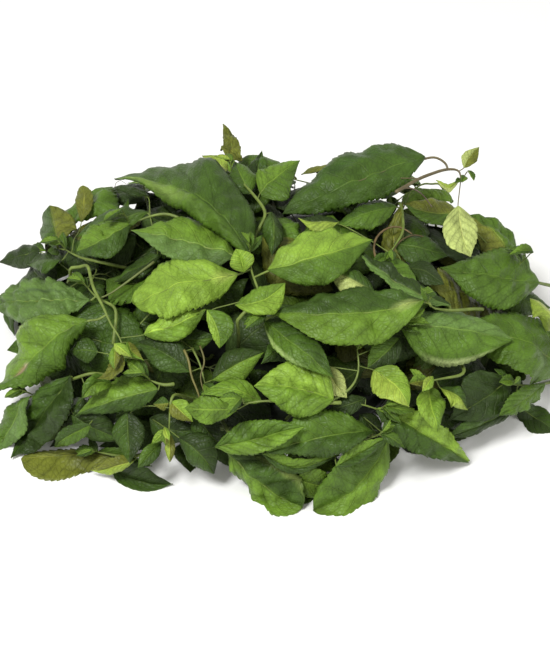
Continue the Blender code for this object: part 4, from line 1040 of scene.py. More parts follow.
# Stems are this much slimmer than their solids, and those placed by rule sink this far onto the pile
SLIMMER = 0.74
RULED_SLIMMER = 0.5
RULED_SINK = 12 * MM
TIP_SHARE = 0.4
STEM_STEP = 3 * MM
BUDS = 3
BUD_LENGTHS = (8 * MM, 17 * MM)
BUD_TURN = 0.55
BUD_HALF_WIDTH = 0.2
# A stem's cut end is led on by one of these turns and reaches, where that is this much lower
DIVE_TURNS = np.linspace(-1.3, 1.3, 9)
DIVE_REACHES = (10 * MM, 16 * MM, 23 * MM)
DIVE_WORTH = 3 * MM
DIVE_WITHIN = 0.84
HAIR_LENGTH = 0.8 * MM
HAIR_RADIUS = 0.035 * MM
HAIRS_PER_METRE = 700

# Leaf tones as sRGB hex: the letters stand for dark, deep, mid, green, bright, yellow-green, pale,
# olive, soft. Besides the leaves' colour they hold painted light and shade: the dark and deep tones carry
# the shade that leaves lie in, and a leaf's two halves differ partly by how light falls on them.
# After the two halves' letters, c stands for a strongly creased leaf and r for one with a rounded tip.
LEAF_TONE_AND_SHADE = {
    "k": "#2c3e14", "d": "#3c551a", "m": "#4e6b1f", "g": "#638228", "b": "#7d9d35", "y": "#93aa42",
    "p": "#a5b266", "o": "#686f27", "s": "#5c7838",
}
UNDERSIDE = "#93a266"
STEM_TONE = "#6c7d38"
BROWN_STEM_TONE = "#675d42"
HAIR_TONE = "#b4bd92"
BROWN_STEMS = ("top_right",)
# The core's near-black tone is painted shade for the deep gaps of the heap.
CORE_SHADE_TONE = "#222c1a"
RULED_TONES = "mmddggkmodsk"
BUD_TONES = ("md", "gm", "dg")
BRIGHT_BUD_TONES = ("gb", "og", "by")
BRIGHT_BUDS = ("left", "front_left", "middle_right_low", "top_back", "right_low")

# Leaves partly seen in the gaps: the stem they grow from, then as for the leaves of the front view. Their
# mostly dark tones hold painted shade.
GAP_LEAVES = (
    ("far_left", ((98, 268), (78, 256), (56, 242)), 15, 14, (-8, -6, -6), 0, "kd"),
    ("upper_left_side", ((154, 208), (136, 203), (117, 201)), 9, 9, (-5, -4, -4), 0, "kk"),
    ("upper_left_side", ((162, 262), (140, 272), (116, 284)), 13, 14, (-10, -8, -8), 0, "kd"),
    ("rim_left", ((114, 402), (84, 424), (50, 447)), 21, 19, (-6, -5, -6), 0, "kk"),
    ("front_left", ((150, 418), (172, 430), (200, 428)), 16, 15, (-8, -6, -8), 0, "kd"),
    ("rim_front", ((294, 446), (303, 474), (305, 504)), 20, 22, (-3, -2, -1), 0, "mgcr"),
    ("far_right", ((500, 290), (524, 300), (550, 308)), 15, 14, (-5, -4, -4), 0, "dm"),
    ("top_back", ((263, 190), (258, 172), (262, 151)), 11, 12, (-4, -3, -4), 0, "kdc"),
    ("rim_right", ((430, 402), (450, 416), (474, 424)), 14, 13, (-6, -6, -6), 0, "kd"),
    ("hollow_right", ((406, 262), (392, 240), (398, 214)), 10, 12, (-9, -8, -7), 0, "ooc"),
    ("middle_left_low", ((166, 330), (190, 340), (216, 336)), 13, 12, (-9, -7, -7), 0, "dmc"),
    ("middle_upper", ((300, 330), (282, 352), (262, 372)), 13, 12, (-9, -7, -8), 0, "kdc"),
    ("rim_front_left", ((98, 452), (122, 459), (152, 466)), 10, 9, (-3, -2, -2), 0, "md"),
    ("rim_left", ((96, 404), (80, 426), (62, 446)), 16, 22, (-8, -8, -7), 0, "kd"),
    ("rim_left", ((84, 420), (102, 431), (122, 440)), 14, 14, (-2, -2, -2), 0, "kd"),
    ("top_right", ((348, 204), (372, 206), (398, 204)), 12, 11, (-16, -17, -18), 0, "kd"),
    ("front_left", ((196, 414), (208, 432), (224, 448)), 13, 12, (-8, -7, -7), 0, "kd"),
    ("rim_front", ((304, 452), (326, 464), (348, 470)), 13, 11, (-4, -3, -3), 0, "mg"),
    ("rim_front", ((360, 414), (372, 428), (382, 442)), 11, 11, (-6, -6, -6), 0, "kd"),
)

# Thin dry stalks: the stem they belong to, pixels of the front view, height over the heap and radius in
# millimetres, and tone
DRY_STALKS = (
    ("hollow_right", ((378, 264), (371, 246), (380, 230), (398, 224), (412, 234)), 1, 0.8, "#6b5a3a"),
    ("hollow_right", ((390, 258), (397, 242), (414, 233), (432, 240)), 0, 0.6, "#5d5034"),
    ("middle_left_low", ((184, 350), (190, 362), (190, 376), (199, 392), (202, 410)), 2, 0.8, "#6e6936"),
    ("middle_left_low", ((200, 346), (206, 362), (199, 376), (204, 392)), 1, 0.6, "#5f5b30"),
    ("upper_left_side", ((154, 262), (130, 280), (102, 300)), 0, 0.9, "#66703c"),
    ("top", ((120, 199), (124, 190), (129, 182)), 4, 0.2, "#4a4038"),
    ("top_right", ((398, 190), (410, 187), (422, 193), (432, 207)), 16, 0.6, "#5b5040"),
)

# Marks on seen leaves: stem, leaf number, place along and across the blade, half sizes, tone and strength.
# The reddish-brown spot with its pale middle is a blemish; the dark lines and patches are painted shade, in
# creases and over shaded parts of blades.
MARKS_AND_SHADE = (
    ("left", 0, 0.66, -0.10, 0.09, 0.20, "#a3786c", 0.75),
    ("left", 0, 0.60, -0.05, 0.03, 0.07, "#cdb9ae", 0.8),
    ("left", 0, 0.52, 0.95, 0.13, 0.16, "#b7c57e", 0.8),
    ("top", 1, 0.80, -0.45, 0.35, 0.50, "#8ba552", 0.55),
    ("top", 2, 0.12, 0.0, 0.16, 0.5, "#a6b559", 0.5),
    ("top", 0, 0.52, 0.20, 0.10, 0.025, "#20301c", 0.9),
    ("middle_upper", 1, 0.25, 0.85, 0.5, 0.16, "#a5bb70", 0.6),
    ("right", 0, 0.55, 0.93, 0.42, 0.13, "#b4c184", 0.7),
    ("far_left", 0, 0.50, 0.35, 0.42, 0.05, "#33452a", 0.7),
    ("far_left", 0, 0.46, -0.30, 0.40, 0.04, "#33452a", 0.7),
    ("far_left", 0, 0.60, 0.62, 0.30, 0.04, "#33452a", 0.6),
    ("top", 1, 0.35, -0.10, 0.35, 0.10, "#2f4a1c", 0.5),
    ("top_right", 0, 0.45, 0.55, 0.45, 0.25, "#35521f", 0.5),
    ("right_upper", 1, 0.10, 0.0, 0.12, 0.45, "#a6b468", 0.5),
    ("rim_front", 1, 0.6, -0.9, 0.4, 0.2, "#9dad55", 0.5),
    ("rim_front_left", 1, 0.5, 0.8, 0.4, 0.25, "#9aa356", 0.5),
)


def colour(code):
    """Linear colour of an sRGB hex code."""
    parts = [int(code[i:i + 2], 16) / 255 for i in (1, 3, 5)]
    return [c / 12.92 if c <= 0.04045 else ((c + 0.055) / 1.055) ** 2.4 for c in parts]


class Piece:
    """Meshes gathered into one piece, with what its materials read."""

    def __init__(self):
        self.points, self.faces, self.slots = [], [], []
        self.tone, self.phase, self.spacing, self.rib, self.place = [], [], [], [], []
        self.count = 0

    def add(self, points, faces, slot, tone, phase=0.0, spacing=0.0, rib=1.0, place=(0.0, 0.0), pale=0.0):
        """Adds a part, with its material's number, its tones and, on a blade, its veins' measures."""
        count = len(points)
        self.points.append(points)
        self.faces.append(faces + self.count)
        self.slots.append(np.full(len(faces), slot))
        self.tone.append(np.concatenate([np.broadcast_to(tone, (count, 3)), np.full((count, 1), pale)], 1))
        for found, value in ((self.phase, phase), (self.spacing, spacing), (self.rib, rib)):
            found.append(np.broadcast_to(value, (count,)))
        self.place.append(np.broadcast_to(place, (count, 2)))
        self.count += count

    def mesh(self, name, materials, surface):
        """The parts as one mesh, with their materials, and their tones, darkened with painted shade, and
        veins' measures as attributes.
        """
        points, faces = np.concatenate(self.points), np.concatenate(self.faces)
        tones = np.concatenate(self.tone)
        # painted shade: each point's tones are darkened the deeper it lies under the heap's surface
        tones[:, :3] *= light_kept(points, surface)[:, None]
        points = points + SHIFT
        points[:, 2] = np.maximum(points[:, 2], 0)
        mesh = bpy.data.meshes.new(name)
        mesh.vertices.add(len(points))
        mesh.vertices.foreach_set("co", points.ravel())
        mesh.loops.add(faces.size)
        mesh.loops.foreach_set("vertex_index", faces.ravel())
        mesh.polygons.add(len(faces))
        mesh.polygons.foreach_set("loop_start", np.arange(len(faces)) * 3)
        mesh.polygons.foreach_set("material_index", np.concatenate(self.slots))
        mesh.polygons.foreach_set("use_smooth", np.ones(len(faces), bool))
        mesh.attributes.new("tone", "FLOAT_COLOR", "POINT").data.foreach_set("color", tones.ravel())
        measures = {"vein_phase": self.phase, "vein_spacing": self.spacing, "rib_mm": self.rib}
        for key, values in measures.items():
            mesh.attributes.new(key, "FLOAT", "POINT").data.foreach_set("value", np.concatenate(values))
        layer = mesh.uv_layers.new(name="leaf")
        layer.data.foreach_set("uv", np.concatenate(self.place)[faces.ravel()].ravel())
        mesh.update()
        mesh.validate()
        piece = bpy.data.objects.new(name, mesh)
        for material in materials:
            mesh.materials.append(material)
        bpy.context.scene.collection.objects.link(piece)
        return piece


def add_shape(pile, fan, height):
    """Adds a surface to the pile, by its places in the fan and the heights it needs there."""
    pile.add(fan[..., 0].ravel(), fan[..., 1].ravel(), height.ravel())


def heap_surface(pile):
    """The heap's outer surface, smoothed over the gaps between leaves."""
    surface = np.maximum(pile.near, 0)
    for _ in range(SURFACE_BLURS):
        surface = blurred(surface)
    return np.maximum(surface, 0)


def light_kept(points, surface):
    """How much of its tone each point keeps as painted shade for the leaves above it, from deep inside to
    the surface.
    """
    fan = to_fan(points)
    last = surface.shape[0] - 1
    i = np.clip(((fan[:, 0] + MAP_HALF) / CELL).astype(int), 0, last)
    j = np.clip(((fan[:, 1] + MAP_HALF) / CELL).astype(int), 0, last)
    t = np.clip((surface[i, j] - fan[:, 2] - SHADE_FROM) / (SHADE_TO - SHADE_FROM), 0, 1)
    return 1 - (1 - DEEPEST) * t * t * (3 - 2 * t)


def marked(tone, u, v, marks_and_shade):
    """Leaf tones with its marks and painted shade mixed in, each softer towards its border."""
    for along, across, half_along, half_across, code, strength in marks_and_shade:
        away = np.hypot((u[:, None] - along) / half_along, (v[None] - across) / half_across)
        mix = strength * np.clip(1.5 - 1.5 * away, 0, 1)[..., None]
        tone = tone * (1 - mix) + np.array(colour(code)) * mix
    return tone


def add_leaf(piece, random, pile, own, path, grid, narrow, tones, halves, marks_and_shade, stem_tone):
    """A fine blade, both faces in their own tones, with its rib and its stalk as one tapered tube under it,
    which starts at the nearest point of the stem's path."""
    grid = grid.copy()
    grid[0] += path[np.argmin(np.linalg.norm(path - grid[0, 1], axis=1))] - grid[0, 1]
    creased = STRONG_CREASE if "c" in tones[2:] else random.uniform(0.6, 1.4)
    points, u, v, phase, relief, length, half_width = fine_blade(
        random, pile, own, grid, narrow, halves, creased, "r" in tones[2:])
    rows, columns = points.shape[:2]
    solid, faces = shell(points)
    left, right = (np.array(colour(LEAF_TONE_AND_SHADE[letter])) for letter in tones[:2])
    mix = np.clip(0.5 - v * 4, 0, 1)[None, :, None]
    fade = 1 + random.uniform(-0.25, 0.35) * (u[:, None, None] - 0.4) + random.uniform(-0.08, 0.08)
    # painted shade and light: the blade darker in its creases and lighter on its ridges, by their relief
    fade = fade * (1 + RELIEF_SHADE * creased * np.clip(relief, -1.6, 1.6))[..., None]
    tone = marked((left * mix + right * (1 - mix)) * fade, u, v, marks_and_shade)
    under = tone * (1 - UNDER_MIX) + np.array(colour(UNDERSIDE)) * UNDER_MIX
    both = np.concatenate([tone.reshape(-1, 3), under.reshape(-1, 3)])
    rib = (np.abs(v)[None] * half_width * MM_PER_METRE + u[:, None] * 0.3).ravel()
    uv_across = v[None] * half_width * UV_PER_METRE
    uv_along = u[:, None] * length * UV_PER_METRE
    place = np.stack(np.broadcast_arrays(uv_across, uv_along), -1)
    place = place.reshape(-1, 2) + random.uniform(0, 10, 2)
    piece.add(solid, faces, 0, both, np.tile(phase.ravel(), 2), length * MM_PER_METRE / VEIN_PAIRS,
              np.tile(rib, 2), np.tile(place, (2, 1)), random.uniform(0, 1))
    middle = columns // 2
    normals = grid_normals(points)[:, middle]
    thinner = np.clip(length / FULL_LENGTH, 0.4, 1.1)
    radii = np.linspace(PETIOLE_RADIUS * 0.9, MIDRIB_END_RADIUS, rows) * thinner
    under_rib = points[:, middle] - normals * radii[:, None] * 0.9
    last = int(rows * TIP_ROWS)
    stalk = np.concatenate([grid[:narrow, 1], under_rib[:1]])
    spans = run_along(stalk)
    fine = points_at(np.linspace(0, spans[-1], STALK_ROWS + 1)[:-1], spans, stalk)
    fine = np.concatenate([fine[:1], resting(pile, fine[1:], PETIOLE_RADIUS)])
    path = eased(np.concatenate([fine, under_rib[:last:2]]), 4)
    thick = PETIOLE_RADIUS * np.clip(length / FULL_LENGTH, 0.5, 1.1)
    size = np.concatenate([np.full(STALK_ROWS, thick), radii[:last:2]])
    facing = np.concatenate([np.repeat(normals[:1], STALK_ROWS, 0), normals[:last:2]])
    tube_points, tube_faces = tube(path, size, facing)
    piece.add(tube_points, tube_faces, 1, np.array(colour(stem_tone)) * random.uniform(0.8, 1.15))
    add_hairs(piece, random, path[:HAIRY_ROWS], size[:HAIRY_ROWS])
    cut = refined(points, REFINED)
    fan = to_fan(cut)
    clear = ray_clearance(cut, grid_normals(cut), SHEET / 2 + FINE_GAP)
    return fan, fan[..., 2] + clear


def add_hairs(piece, random, path, radii):
    """Short soft hairs that stand on a stem or a stalk: slim three-sided spikes at even odds along it."""
    spans = run_along(path)
    places = random.uniform(0, spans[-1], int(spans[-1] * HAIRS_PER_METRE))
    if not len(places):
        return
    feet = points_at(places, spans, path)
    along = unit(path[-1] - path[0])
    out = random.normal(0, 1, feet.shape)
    out = unit(out - (out @ along)[:, None] * along)
    side = np.cross(out, along)
    feet = feet + out * (np.interp(places, spans, radii) * 0.9)[:, None]
    tips = feet + (out + random.normal(0, 0.25, feet.shape)) * HAIR_LENGTH
    around = [math.cos(turn) * side + math.sin(turn) * along for turn in (0, 2.1, 4.2)]
    points = np.stack([feet + HAIR_RADIUS * way for way in around] + [tips], 1)
    number = np.arange(len(feet))[:, None] * 4
    corners = np.array([[0, 1, 3], [1, 2, 3], [2, 0, 3], [0, 2, 1]])
    faces = (number[..., None] + corners).reshape(-1, 3)
    piece.add(points.reshape(-1, 3), faces, 1, colour(HAIR_TONE))


def resting(pile, path, radius):
    """A path raised along the rays to lie on what is under it."""
    fan = to_fan(path)
    clear = ray_clearance(path, unit(path + [0, 0, RAY_DEPTH]), radius + FINE_GAP)
    fan[:, 2] = np.maximum(fan[:, 2], pile.under(fan[:, 0], fan[:, 1]) + clear)
    return from_fan(fan)


def dive(pile, line, radius):
    """The line with its cut end led on into the lowest gap near it."""
    start, back = line[0], unit(line[0] - line[1])
    across = unit(np.cross(unit(start + [0, 0, RAY_DEPTH]), back))
    ends = np.array([
        start + reach * (math.cos(turn) * back + math.sin(turn) * across)
        for turn in DIVE_TURNS for reach in DIVE_REACHES
    ])
    fan = to_fan(ends)
    floors = np.maximum(pile.under(fan[:, 0], fan[:, 1]), 0)
    floors[np.hypot(*(ends / HALF_SIZES).T[:2]) > DIVE_WITHIN] = math.inf
    best = np.argmin(floors)
    if to_fan(start)[2] - floors[best] < DIVE_WORTH:
        return line
    fan[best, 2] = floors[best] + 2 * radius
    steps = np.linspace(1, 0, 6)[:-1, None]
    led = start + steps * (from_fan(fan[best]) - start)
    led[:, 2] += (1 - steps[:, 0]) * steps[:, 0] * 4 * MM
    return np.concatenate([resting(pile, led, radius), line])


def add_stem(piece, random, pile, line, radius, tone, seen):
    """A smooth round stem along the line, slimmer to its tip; one placed by rule sinks onto the pile."""
    slimmer, easings = (SLIMMER, 3) if seen else (RULED_SLIMMER, 30)
    if seen and tone != BROWN_STEM_TONE:
        line = dive(pile, line, radius[0])
    spans = run_along(line)
    places = np.linspace(0, spans[-1], max(8, int(spans[-1] / STEM_STEP)))
    path = eased(points_at(places, spans, line), easings)
    if not seen:
        fan = to_fan(path)
        fan[:, 2] -= RULED_SINK
        path = from_fan(fan)
    path = eased(resting(pile, path, radius[0] * slimmer), 2)
    size = np.linspace(radius[0], radius[-1], len(path)) * slimmer
    size = size * np.interp(places / spans[-1], (0, 0.6, 1), (1, 0.9, TIP_SHARE))
    points, faces = tube(path, size, unit(path + [0.001, 0, RAY_DEPTH]))
    points[:, 2] = np.maximum(points[:, 2], 0.0001)
    piece.add(points, faces, 1, colour(tone))
    add_hairs(piece, random, path, size)
    fan = to_fan(path)
    clear = ray_clearance(path, unit(path + [0, 0, RAY_DEPTH]), size + FINE_GAP)
    return path, (fan, fan[..., 2] + clear)


def add_dry_stalk(piece, pile, pixels, lift, radius, tone):
    """A thin dry stalk laid on the pile along pixels of the front view."""
    pixels = np.array(pixels, float)
    pixels = eased(points_at(np.linspace(0, 1, 14), np.linspace(0, 1, len(pixels)), pixels), 2)
    path = dome_points(pixels, np.full(len(pixels), lift * MM))
    path = eased(resting(pile, path, radius), 2)
    size = np.linspace(radius, radius * 0.6, len(path))
    points, faces = tube(path, size, unit(path + [0.001, 0, RAY_DEPTH]))
    piece.add(points, faces, 1, colour(tone))
    fan = to_fan(path)
    return fan, fan[..., 2] + radius + FINE_GAP


def gap_leaves(random, name, line):
    """The leaves partly seen in the gaps that grow from this stem."""
    leaves = []
    for stem, rib, left, right, lifts, cup, _ in GAP_LEAVES:
        if stem == name:
            grid, _ = seen_leaf(random, rib, left, right, lifts, cup, ())
            root = line[np.argmin(np.linalg.norm(line - grid[0, 1], axis=1))]
            leaves.append((rooted(root, grid), 1))
    return leaves


def bud_leaves(random, line):
    """Young folded leaves round a stem's tip."""
    leaves = []
    onward = unit(line[-1] - line[-2])
    normal = unit(line[-1] + [0, 0, RAY_DEPTH])
    across = unit(np.cross(normal, onward))
    for k in range(BUDS):
        turn = (k - (BUDS - 1) / 2) * BUD_TURN + random.uniform(-0.25, 0.25)
        aim = unit(math.cos(turn) * onward + math.sin(turn) * across + random.uniform(-0.1, 0.3) * normal)
        sideways = unit(np.cross(normal, aim))
        length = random.uniform(*BUD_LENGTHS)
        rows, widths = (np.array(values) for values in BLADE_ROWS[2])
        half = length * BUD_HALF_WIDTH * widths
        rib = line[-1] + rows[:, None] * length * aim
        edge = half[:, None] * sideways
        lift = half[:, None] * normal * random.uniform(0.3, 0.9)
        grid = np.stack([rib + edge + lift, rib, rib - edge + lift], 1)
        leaves.append((rooted(line[-1] - onward * MM, grid), 1))
    return leaves


def add_core(piece):
    """The middle of the heap: the core's dome in near-black painted shade, its reach waved by two runs of
    slanting creases.
    """
    turns = np.linspace(0, 2 * math.pi, CORE_TURNS + 1)[:-1]
    turn, rise = np.meshgrid(turns, np.linspace(0, CORE_TOP, CORE_RINGS))
    crease = 1 + HEART_CREASE * 0.6 * np.cos(turn * 5 + rise * 6) + 0.03 * np.cos(turn * 11 - rise * 9)
    points = np.stack([np.cos(turn) * np.cos(rise), np.sin(turn) * np.cos(rise), np.sin(rise)], -1)
    points = points * HALF_SIZES * (CORE_SHARE * crease)[..., None]
    points[0, :, 2] = HEART_BOTTOM
    ends = [[0, 0, HEART_BOTTOM], [0, 0, HALF_SIZES[2] * CORE_SHARE]]
    points = np.concatenate([points.reshape(-1, 3), ends])
    points, faces = outward_mesh(points, ring_faces(CORE_RINGS, CORE_TURNS))
    piece.add(points, faces, 1, colour(CORE_SHADE_TONE))
    fan = to_fan(points)
    return fan, fan[..., 2] + MM


def heart_filling(random):
    """Small leaves that lie on the core, by the golden turn."""
    leaves = []
    for k in range(EXTRA_HEART_LEAVES):
        rise = math.asin((k + 0.5) / EXTRA_HEART_LEAVES)
        start = HALF_SIZES * HEART_SHARE * outward(k * GOLDEN_TURN, rise)
        normal = dome_normals(start)
        aim = random.normal(0, 1, 3)
        aim = unit(aim - (aim @ normal) * normal)
        leaf_length = random.uniform(*EXTRA_HEART_LENGTHS)
        grid = ruled_leaf(random, start, aim, normal, leaf_length, HEART_SHARE + 0.03)
        leaves.append((rooted(start * 0.97, grid), 1))
    return leaves


leafy_tones = {"leafy_stem_" + stem[0]: [leaf[6] for leaf in stem[3]] for stem in SEEN_STEMS}


# Materials


def add_node(tree, kind, settings=None, **links):
    """Adds a shader node, sets its fields, and gives its inputs a socket or a value."""
    node = tree.nodes.new("ShaderNode" + kind)
    for key, value in (settings or {}).items():
        setattr(node, key, value)
    for key, value in links.items():
        socket = node.inputs[int(key[1:])] if key[0] == "i" and key[1:].isdigit() else node.inputs[key]
        if isinstance(value, bpy.types.NodeSocket):
            tree.links.new(value, socket)
        else:
            socket.default_value = value
    return node


# Sizes of one cell of each pattern on leaves and stalks. A real leaf's finest net has cells of under 1 mm,
# and is drawn coarser here so that it shows
VEIN_STRAY = 7.692 * MM
MOTTLE = 11.11 * MM
WRINKLE = 3.846 * MM
STALK_MOTTLE = 4.545 * MM
NET_CELL = 2.778 * MM
UV_PER_METRE = 10
# How many mm from its middle line a side vein, the painted shade of the crease along it and the midrib start
# and end to fade
SIDE_VEIN_FADE = {"i1": 0.1, "i2": 0.6}
CREASE_SHADE_FADE = {"i1": 0.3, "i2": 2.0}
MIDRIB_FADE = {"i1": 0.3, "i2": 0.9}


def fresh_leaf():
    """Fresh leaf tissue: soft satin, with a pale midrib, faint sunk side veins with painted shade in their
    creases, and a net between them.
    """
    material = bpy.data.materials.new("fresh_leaf")
    material.use_nodes = True
    tree = material.node_tree
    shader = tree.nodes["Principled BSDF"]
    tone = add_node(tree, "Attribute", {"attribute_name": "tone"})
    phase = add_node(tree, "Attribute", {"attribute_name": "vein_phase"})
    spacing = add_node(tree, "Attribute", {"attribute_name": "vein_spacing"})
    rib = add_node(tree, "Attribute", {"attribute_name": "rib_mm"})
    place = add_node(tree, "TexCoord")
    stray = add_node(tree, "TexNoise", Vector=place.outputs["Object"], Scale=1 / VEIN_STRAY, Detail=2.0)
    bent = add_node(tree, "Math", {"operation": "MULTIPLY_ADD"}, i0=stray.outputs["Fac"], i1=0.16,
                    i2=phase.outputs["Fac"])
    wave = add_node(tree, "Math", {"operation": "PINGPONG"}, i0=bent.outputs[0], i1=0.5)
    away = add_node(tree, "Math", {"operation": "MULTIPLY"}, i0=wave.outputs[0], i1=spacing.outputs["Fac"])
    side_vein = add_node(tree, "MapRange", {"interpolation_type": "SMOOTHSTEP"}, i0=away.outputs[0],
                         **SIDE_VEIN_FADE, i3=1.0, i4=0.0)
    # painted shade: the leaf darkened in a band along each side vein, where its crease lies
    crease = add_node(tree, "MapRange", {"interpolation_type": "SMOOTHSTEP"}, i0=away.outputs[0],
                      **CREASE_SHADE_FADE, i3=1.0, i4=0.0)
    midrib = add_node(tree, "MapRange", {"interpolation_type": "SMOOTHSTEP"}, i0=rib.outputs["Fac"],
                      **MIDRIB_FADE, i3=1.0, i4=0.0)
    rib_part = add_node(tree, "MapRange", i0=tone.outputs["Alpha"], i1=0.0, i2=1.0, i3=0.55, i4=1.0)
    rib_mix = add_node(tree, "Math", {"operation": "MULTIPLY"}, i0=midrib.outputs[0],
                       i1=rib_part.outputs[0])
    vein_mix = add_node(tree, "Math", {"operation": "MULTIPLY"}, i0=side_vein.outputs[0],
                        i1=tone.outputs["Alpha"])
    vein_part = add_node(tree, "Math", {"operation": "MULTIPLY"}, i0=vein_mix.outputs[0], i1=0.5)
    vein = add_node(tree, "Math", {"operation": "MAXIMUM"}, i0=vein_part.outputs[0], i1=rib_mix.outputs[0])
    uv = add_node(tree, "UVMap", {"uv_map": "leaf"})
    net = add_node(tree, "TexVoronoi", {"feature": "DISTANCE_TO_EDGE", "voronoi_dimensions": "2D"},
                   Vector=uv.outputs[0], Scale=1 / (NET_CELL * UV_PER_METRE))
    net_line = add_node(tree, "MapRange", i0=net.outputs["Distance"], i1=0.0, i2=0.22, i3=1.0, i4=0.0)
    mottle = add_node(tree, "TexNoise", Vector=place.outputs["Object"], Scale=1 / MOTTLE, Detail=4.0,
                      Roughness=0.6)
    value = add_node(tree, "MapRange", i0=mottle.outputs["Fac"], i1=0.3, i2=0.7, i3=0.76, i4=1.24)
    # the mottle's real tone variation times the painted shade of the creases
    mottle_and_crease_shade = add_node(tree, "Math", {"operation": "MULTIPLY_ADD"}, i0=crease.outputs[0], i1=-0.14,
                     i2=value.outputs[0])
    netted = add_node(tree, "Math", {"operation": "MULTIPLY_ADD"}, i0=net_line.outputs[0], i1=-0.16,
                      i2=mottle_and_crease_shade.outputs[0])
    body = add_node(tree, "VectorMath", {"operation": "SCALE"}, i0=tone.outputs["Color"],
                    Scale=netted.outputs[0])
    pale = add_node(tree, "VectorMath", {"operation": "MULTIPLY_ADD"}, i0=tone.outputs["Color"],
                    i1=(1.6, 1.45, 1.5), i2=(0.012, 0.014, 0.004))
    mixed = add_node(tree, "Mix", {"data_type": "RGBA"}, i0=vein.outputs[0], i6=body.outputs[0],
                     i7=pale.outputs[0])
    wrinkle = add_node(tree, "TexNoise", Vector=place.outputs["Object"], Scale=1 / WRINKLE, Detail=3.0,
                       Roughness=0.55)
    veins = add_node(tree, "Math", {"operation": "MAXIMUM"}, i0=side_vein.outputs[0], i1=midrib.outputs[0])
    lines = add_node(tree, "Math", {"operation": "MULTIPLY_ADD"}, i0=net_line.outputs[0], i1=0.45,
                     i2=veins.outputs[0])
    relief = add_node(tree, "Math", {"operation": "MULTIPLY_ADD"}, i0=wrinkle.outputs["Fac"], i1=1.0,
                      i2=lines.outputs[0])
    bump = add_node(tree, "Bump", {"invert": True}, Height=relief.outputs[0], Strength=0.6, Distance=0.0006)
    tree.links.new(mixed.outputs[2], shader.inputs["Base Color"])
    tree.links.new(bump.outputs[0], shader.inputs["Normal"])
    shader.inputs["Roughness"].default_value = 0.44
    shader.inputs["Specular IOR Level"].default_value = 0.3
    shader.inputs["IOR"].default_value = 1.42
    return material


def green_stalk():
    """Green stalk: lengthwise fine ridges are too small to show, so only soft mottling."""
    material = bpy.data.materials.new("green_stalk")
    material.use_nodes = True
    tree = material.node_tree
    shader = tree.nodes["Principled BSDF"]
    tone = add_node(tree, "Attribute", {"attribute_name": "tone"})
    place = add_node(tree, "TexCoord")
    mottle = add_node(tree, "TexNoise", Vector=place.outputs["Object"], Scale=1 / STALK_MOTTLE, Detail=3.0)
    value = add_node(tree, "MapRange", i0=mottle.outputs["Fac"], i1=0.3, i2=0.7, i3=0.75, i4=1.2)
    body = add_node(tree, "VectorMath", {"operation": "SCALE"}, i0=tone.outputs["Color"],
                    Scale=value.outputs[0])
    tree.links.new(body.outputs[0], shader.inputs["Base Color"])
    shader.inputs["Roughness"].default_value = 0.5
    shader.inputs["Specular IOR Level"].default_value = 0.35
    return material


# The heap

layout = heap_layout()
line_points = [stem[1] for stem in layout]
grid_points = [grid.reshape(-1, 3) for stem in layout for grid, _ in stem[3]]
low = np.min([points.min(0) for points in line_points + grid_points], axis=0)
high = np.max([points.max(0) for points in line_points + grid_points], axis=0)
cad_middle = (np.array(cad_box[0]) + np.array(cad_box[1])) / 2
SHIFT = np.array([*(cad_middle - (low + high) / 2)[:2], 0.0])
leaf, stalk = fresh_leaf(), green_stalk()
random = np.random.default_rng(SEED + 1)
pile = Pile()
pieces = []
for name, line, radius, leaves in layout:
    node = "leafy_stem_" + name
    piece = Piece()
    own = Pile()
    stem_tone = BROWN_STEM_TONE if name in BROWN_STEMS else STEM_TONE
    seen = leafy_tones.get(node)
    path, shape = add_stem(piece, random, pile, line, radius, stem_tone, bool(seen))
    added = [shape]
    halves = HALVES_SEEN if seen else HALVES_RULED
    between = gap_leaves(random, name, line)
    kinds = [(grid, narrow, tone[-1], halves, ()) for (grid, narrow), tone in zip(
        between, [row for row in GAP_LEAVES if row[0] == name])]
    for k, (grid, narrow) in enumerate(leaves):
        tones = seen[k] if seen else RULED_TONES[random.integers(len(RULED_TONES))] * 2
        marks_and_shade = [mark[2:] for mark in MARKS_AND_SHADE if mark[:2] == (name, k)]
        kinds.append((grid, narrow, tones, halves, marks_and_shade))
    if name == "heart":
        added.append(add_core(piece))
        add_shape(pile, *added[-1])
        pile.spread()
        for grid, narrow in heart_filling(random):
            tones = RULED_TONES[random.integers(len(RULED_TONES))] * 2
            kinds.append((grid, narrow, tones, halves, ()))
    else:
        bud_tones = BRIGHT_BUD_TONES if name in BRIGHT_BUDS else BUD_TONES
        kinds += [(grid, narrow, tones, HALVES_BUD, ())
                  for (grid, narrow), tones in zip(bud_leaves(random, path), bud_tones)]
    for grid, narrow, tones, halves, marks_and_shade in kinds:
        fan, height = add_leaf(piece, random, pile, own, path, grid, narrow, tones, halves, marks_and_shade, stem_tone)
        added.append((fan, height))
        cut = ROOT_ROWS * REFINED
        add_shape(own, fan[cut:], height[cut:])
        own.spread()
    added += [add_dry_stalk(piece, pile, pixels, lift, wide * MM, tone)
              for stem, pixels, lift, wide, tone in DRY_STALKS if stem == name]
    for fan, height in added:
        add_shape(pile, fan, height)
    pile.spread()
    pieces.append((name, node, piece))
surface = heap_surface(pile)
for name, node, piece in pieces:
    shown = piece.mesh("leaves_" + name, [leaf, stalk], surface)
    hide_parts(node)
    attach(shown, "root")


# Floor, light and camera

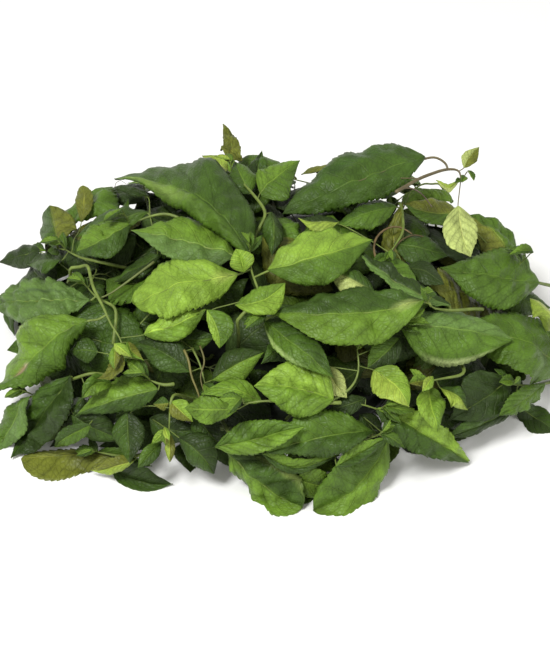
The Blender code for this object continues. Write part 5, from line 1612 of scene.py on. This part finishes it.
FLOOR_HALF = 9.0
FLOOR_CORNERS = ((-1, -1), (1, -1), (1, 1), (-1, 1))
FRAME_PIXELS = 660
SENSOR = 36.0
HEAP_CENTRE = (0, 0, 0.03)
floor = bpy.data.meshes.new("floor")
floor.from_pydata([(x * FLOOR_HALF, y * FLOOR_HALF, 0) for x, y in FLOOR_CORNERS], [], [(0, 1, 2, 3)])
floor_piece = bpy.data.objects.new("floor", floor)
bpy.context.scene.collection.objects.link(floor_piece)
plain = bpy.data.materials.new("white_surface")
plain.use_nodes = True
plain.node_tree.nodes["Principled BSDF"].inputs["Base Color"].default_value = (*colour("#f4f4f2"), 1)
plain.node_tree.nodes["Principled BSDF"].inputs["Roughness"].default_value = 0.9
floor.materials.append(plain)

world = bpy.data.worlds.new("studio")
world.use_nodes = True
world.node_tree.nodes["Background"].inputs["Color"].default_value = (1.0, 0.99, 0.95, 1)
world.node_tree.nodes["Background"].inputs["Strength"].default_value = 0.55
bpy.context.scene.world = world
bpy.context.scene.view_settings.view_transform = "Standard"


def soft_light(name, place, aim, size, power):
    """A square soft light that faces a point."""
    light = bpy.data.lights.new(name, "AREA")
    light.size = size
    light.energy = power
    lamp = bpy.data.objects.new(name, light)
    lamp.location = place
    toward = (np.array(aim) - np.array(place)).tolist()
    lamp.rotation_euler = Vector(toward).to_track_quat("-Z", "Y").to_euler()
    bpy.context.scene.collection.objects.link(lamp)


soft_light("key", (-0.7, -0.7, 1.7), HEAP_CENTRE, 0.5, 33)
soft_light("fill", (1.2, -0.6, 1.0), HEAP_CENTRE, 1.0, 6)

camera = bpy.data.cameras.new("front")
camera.sensor_width = SENSOR
camera.lens = SENSOR * PIXELS_PER_METRE / FRAME_PIXELS
camera.clip_start = 0.01
viewer = bpy.data.objects.new("front", camera)
viewer.location = (EYE + SHIFT).tolist()
viewer.rotation_euler = Vector(FORWARD.tolist()).to_track_quat("-Z", "Y").to_euler()
bpy.context.scene.collection.objects.link(viewer)
bpy.context.scene.camera = viewer
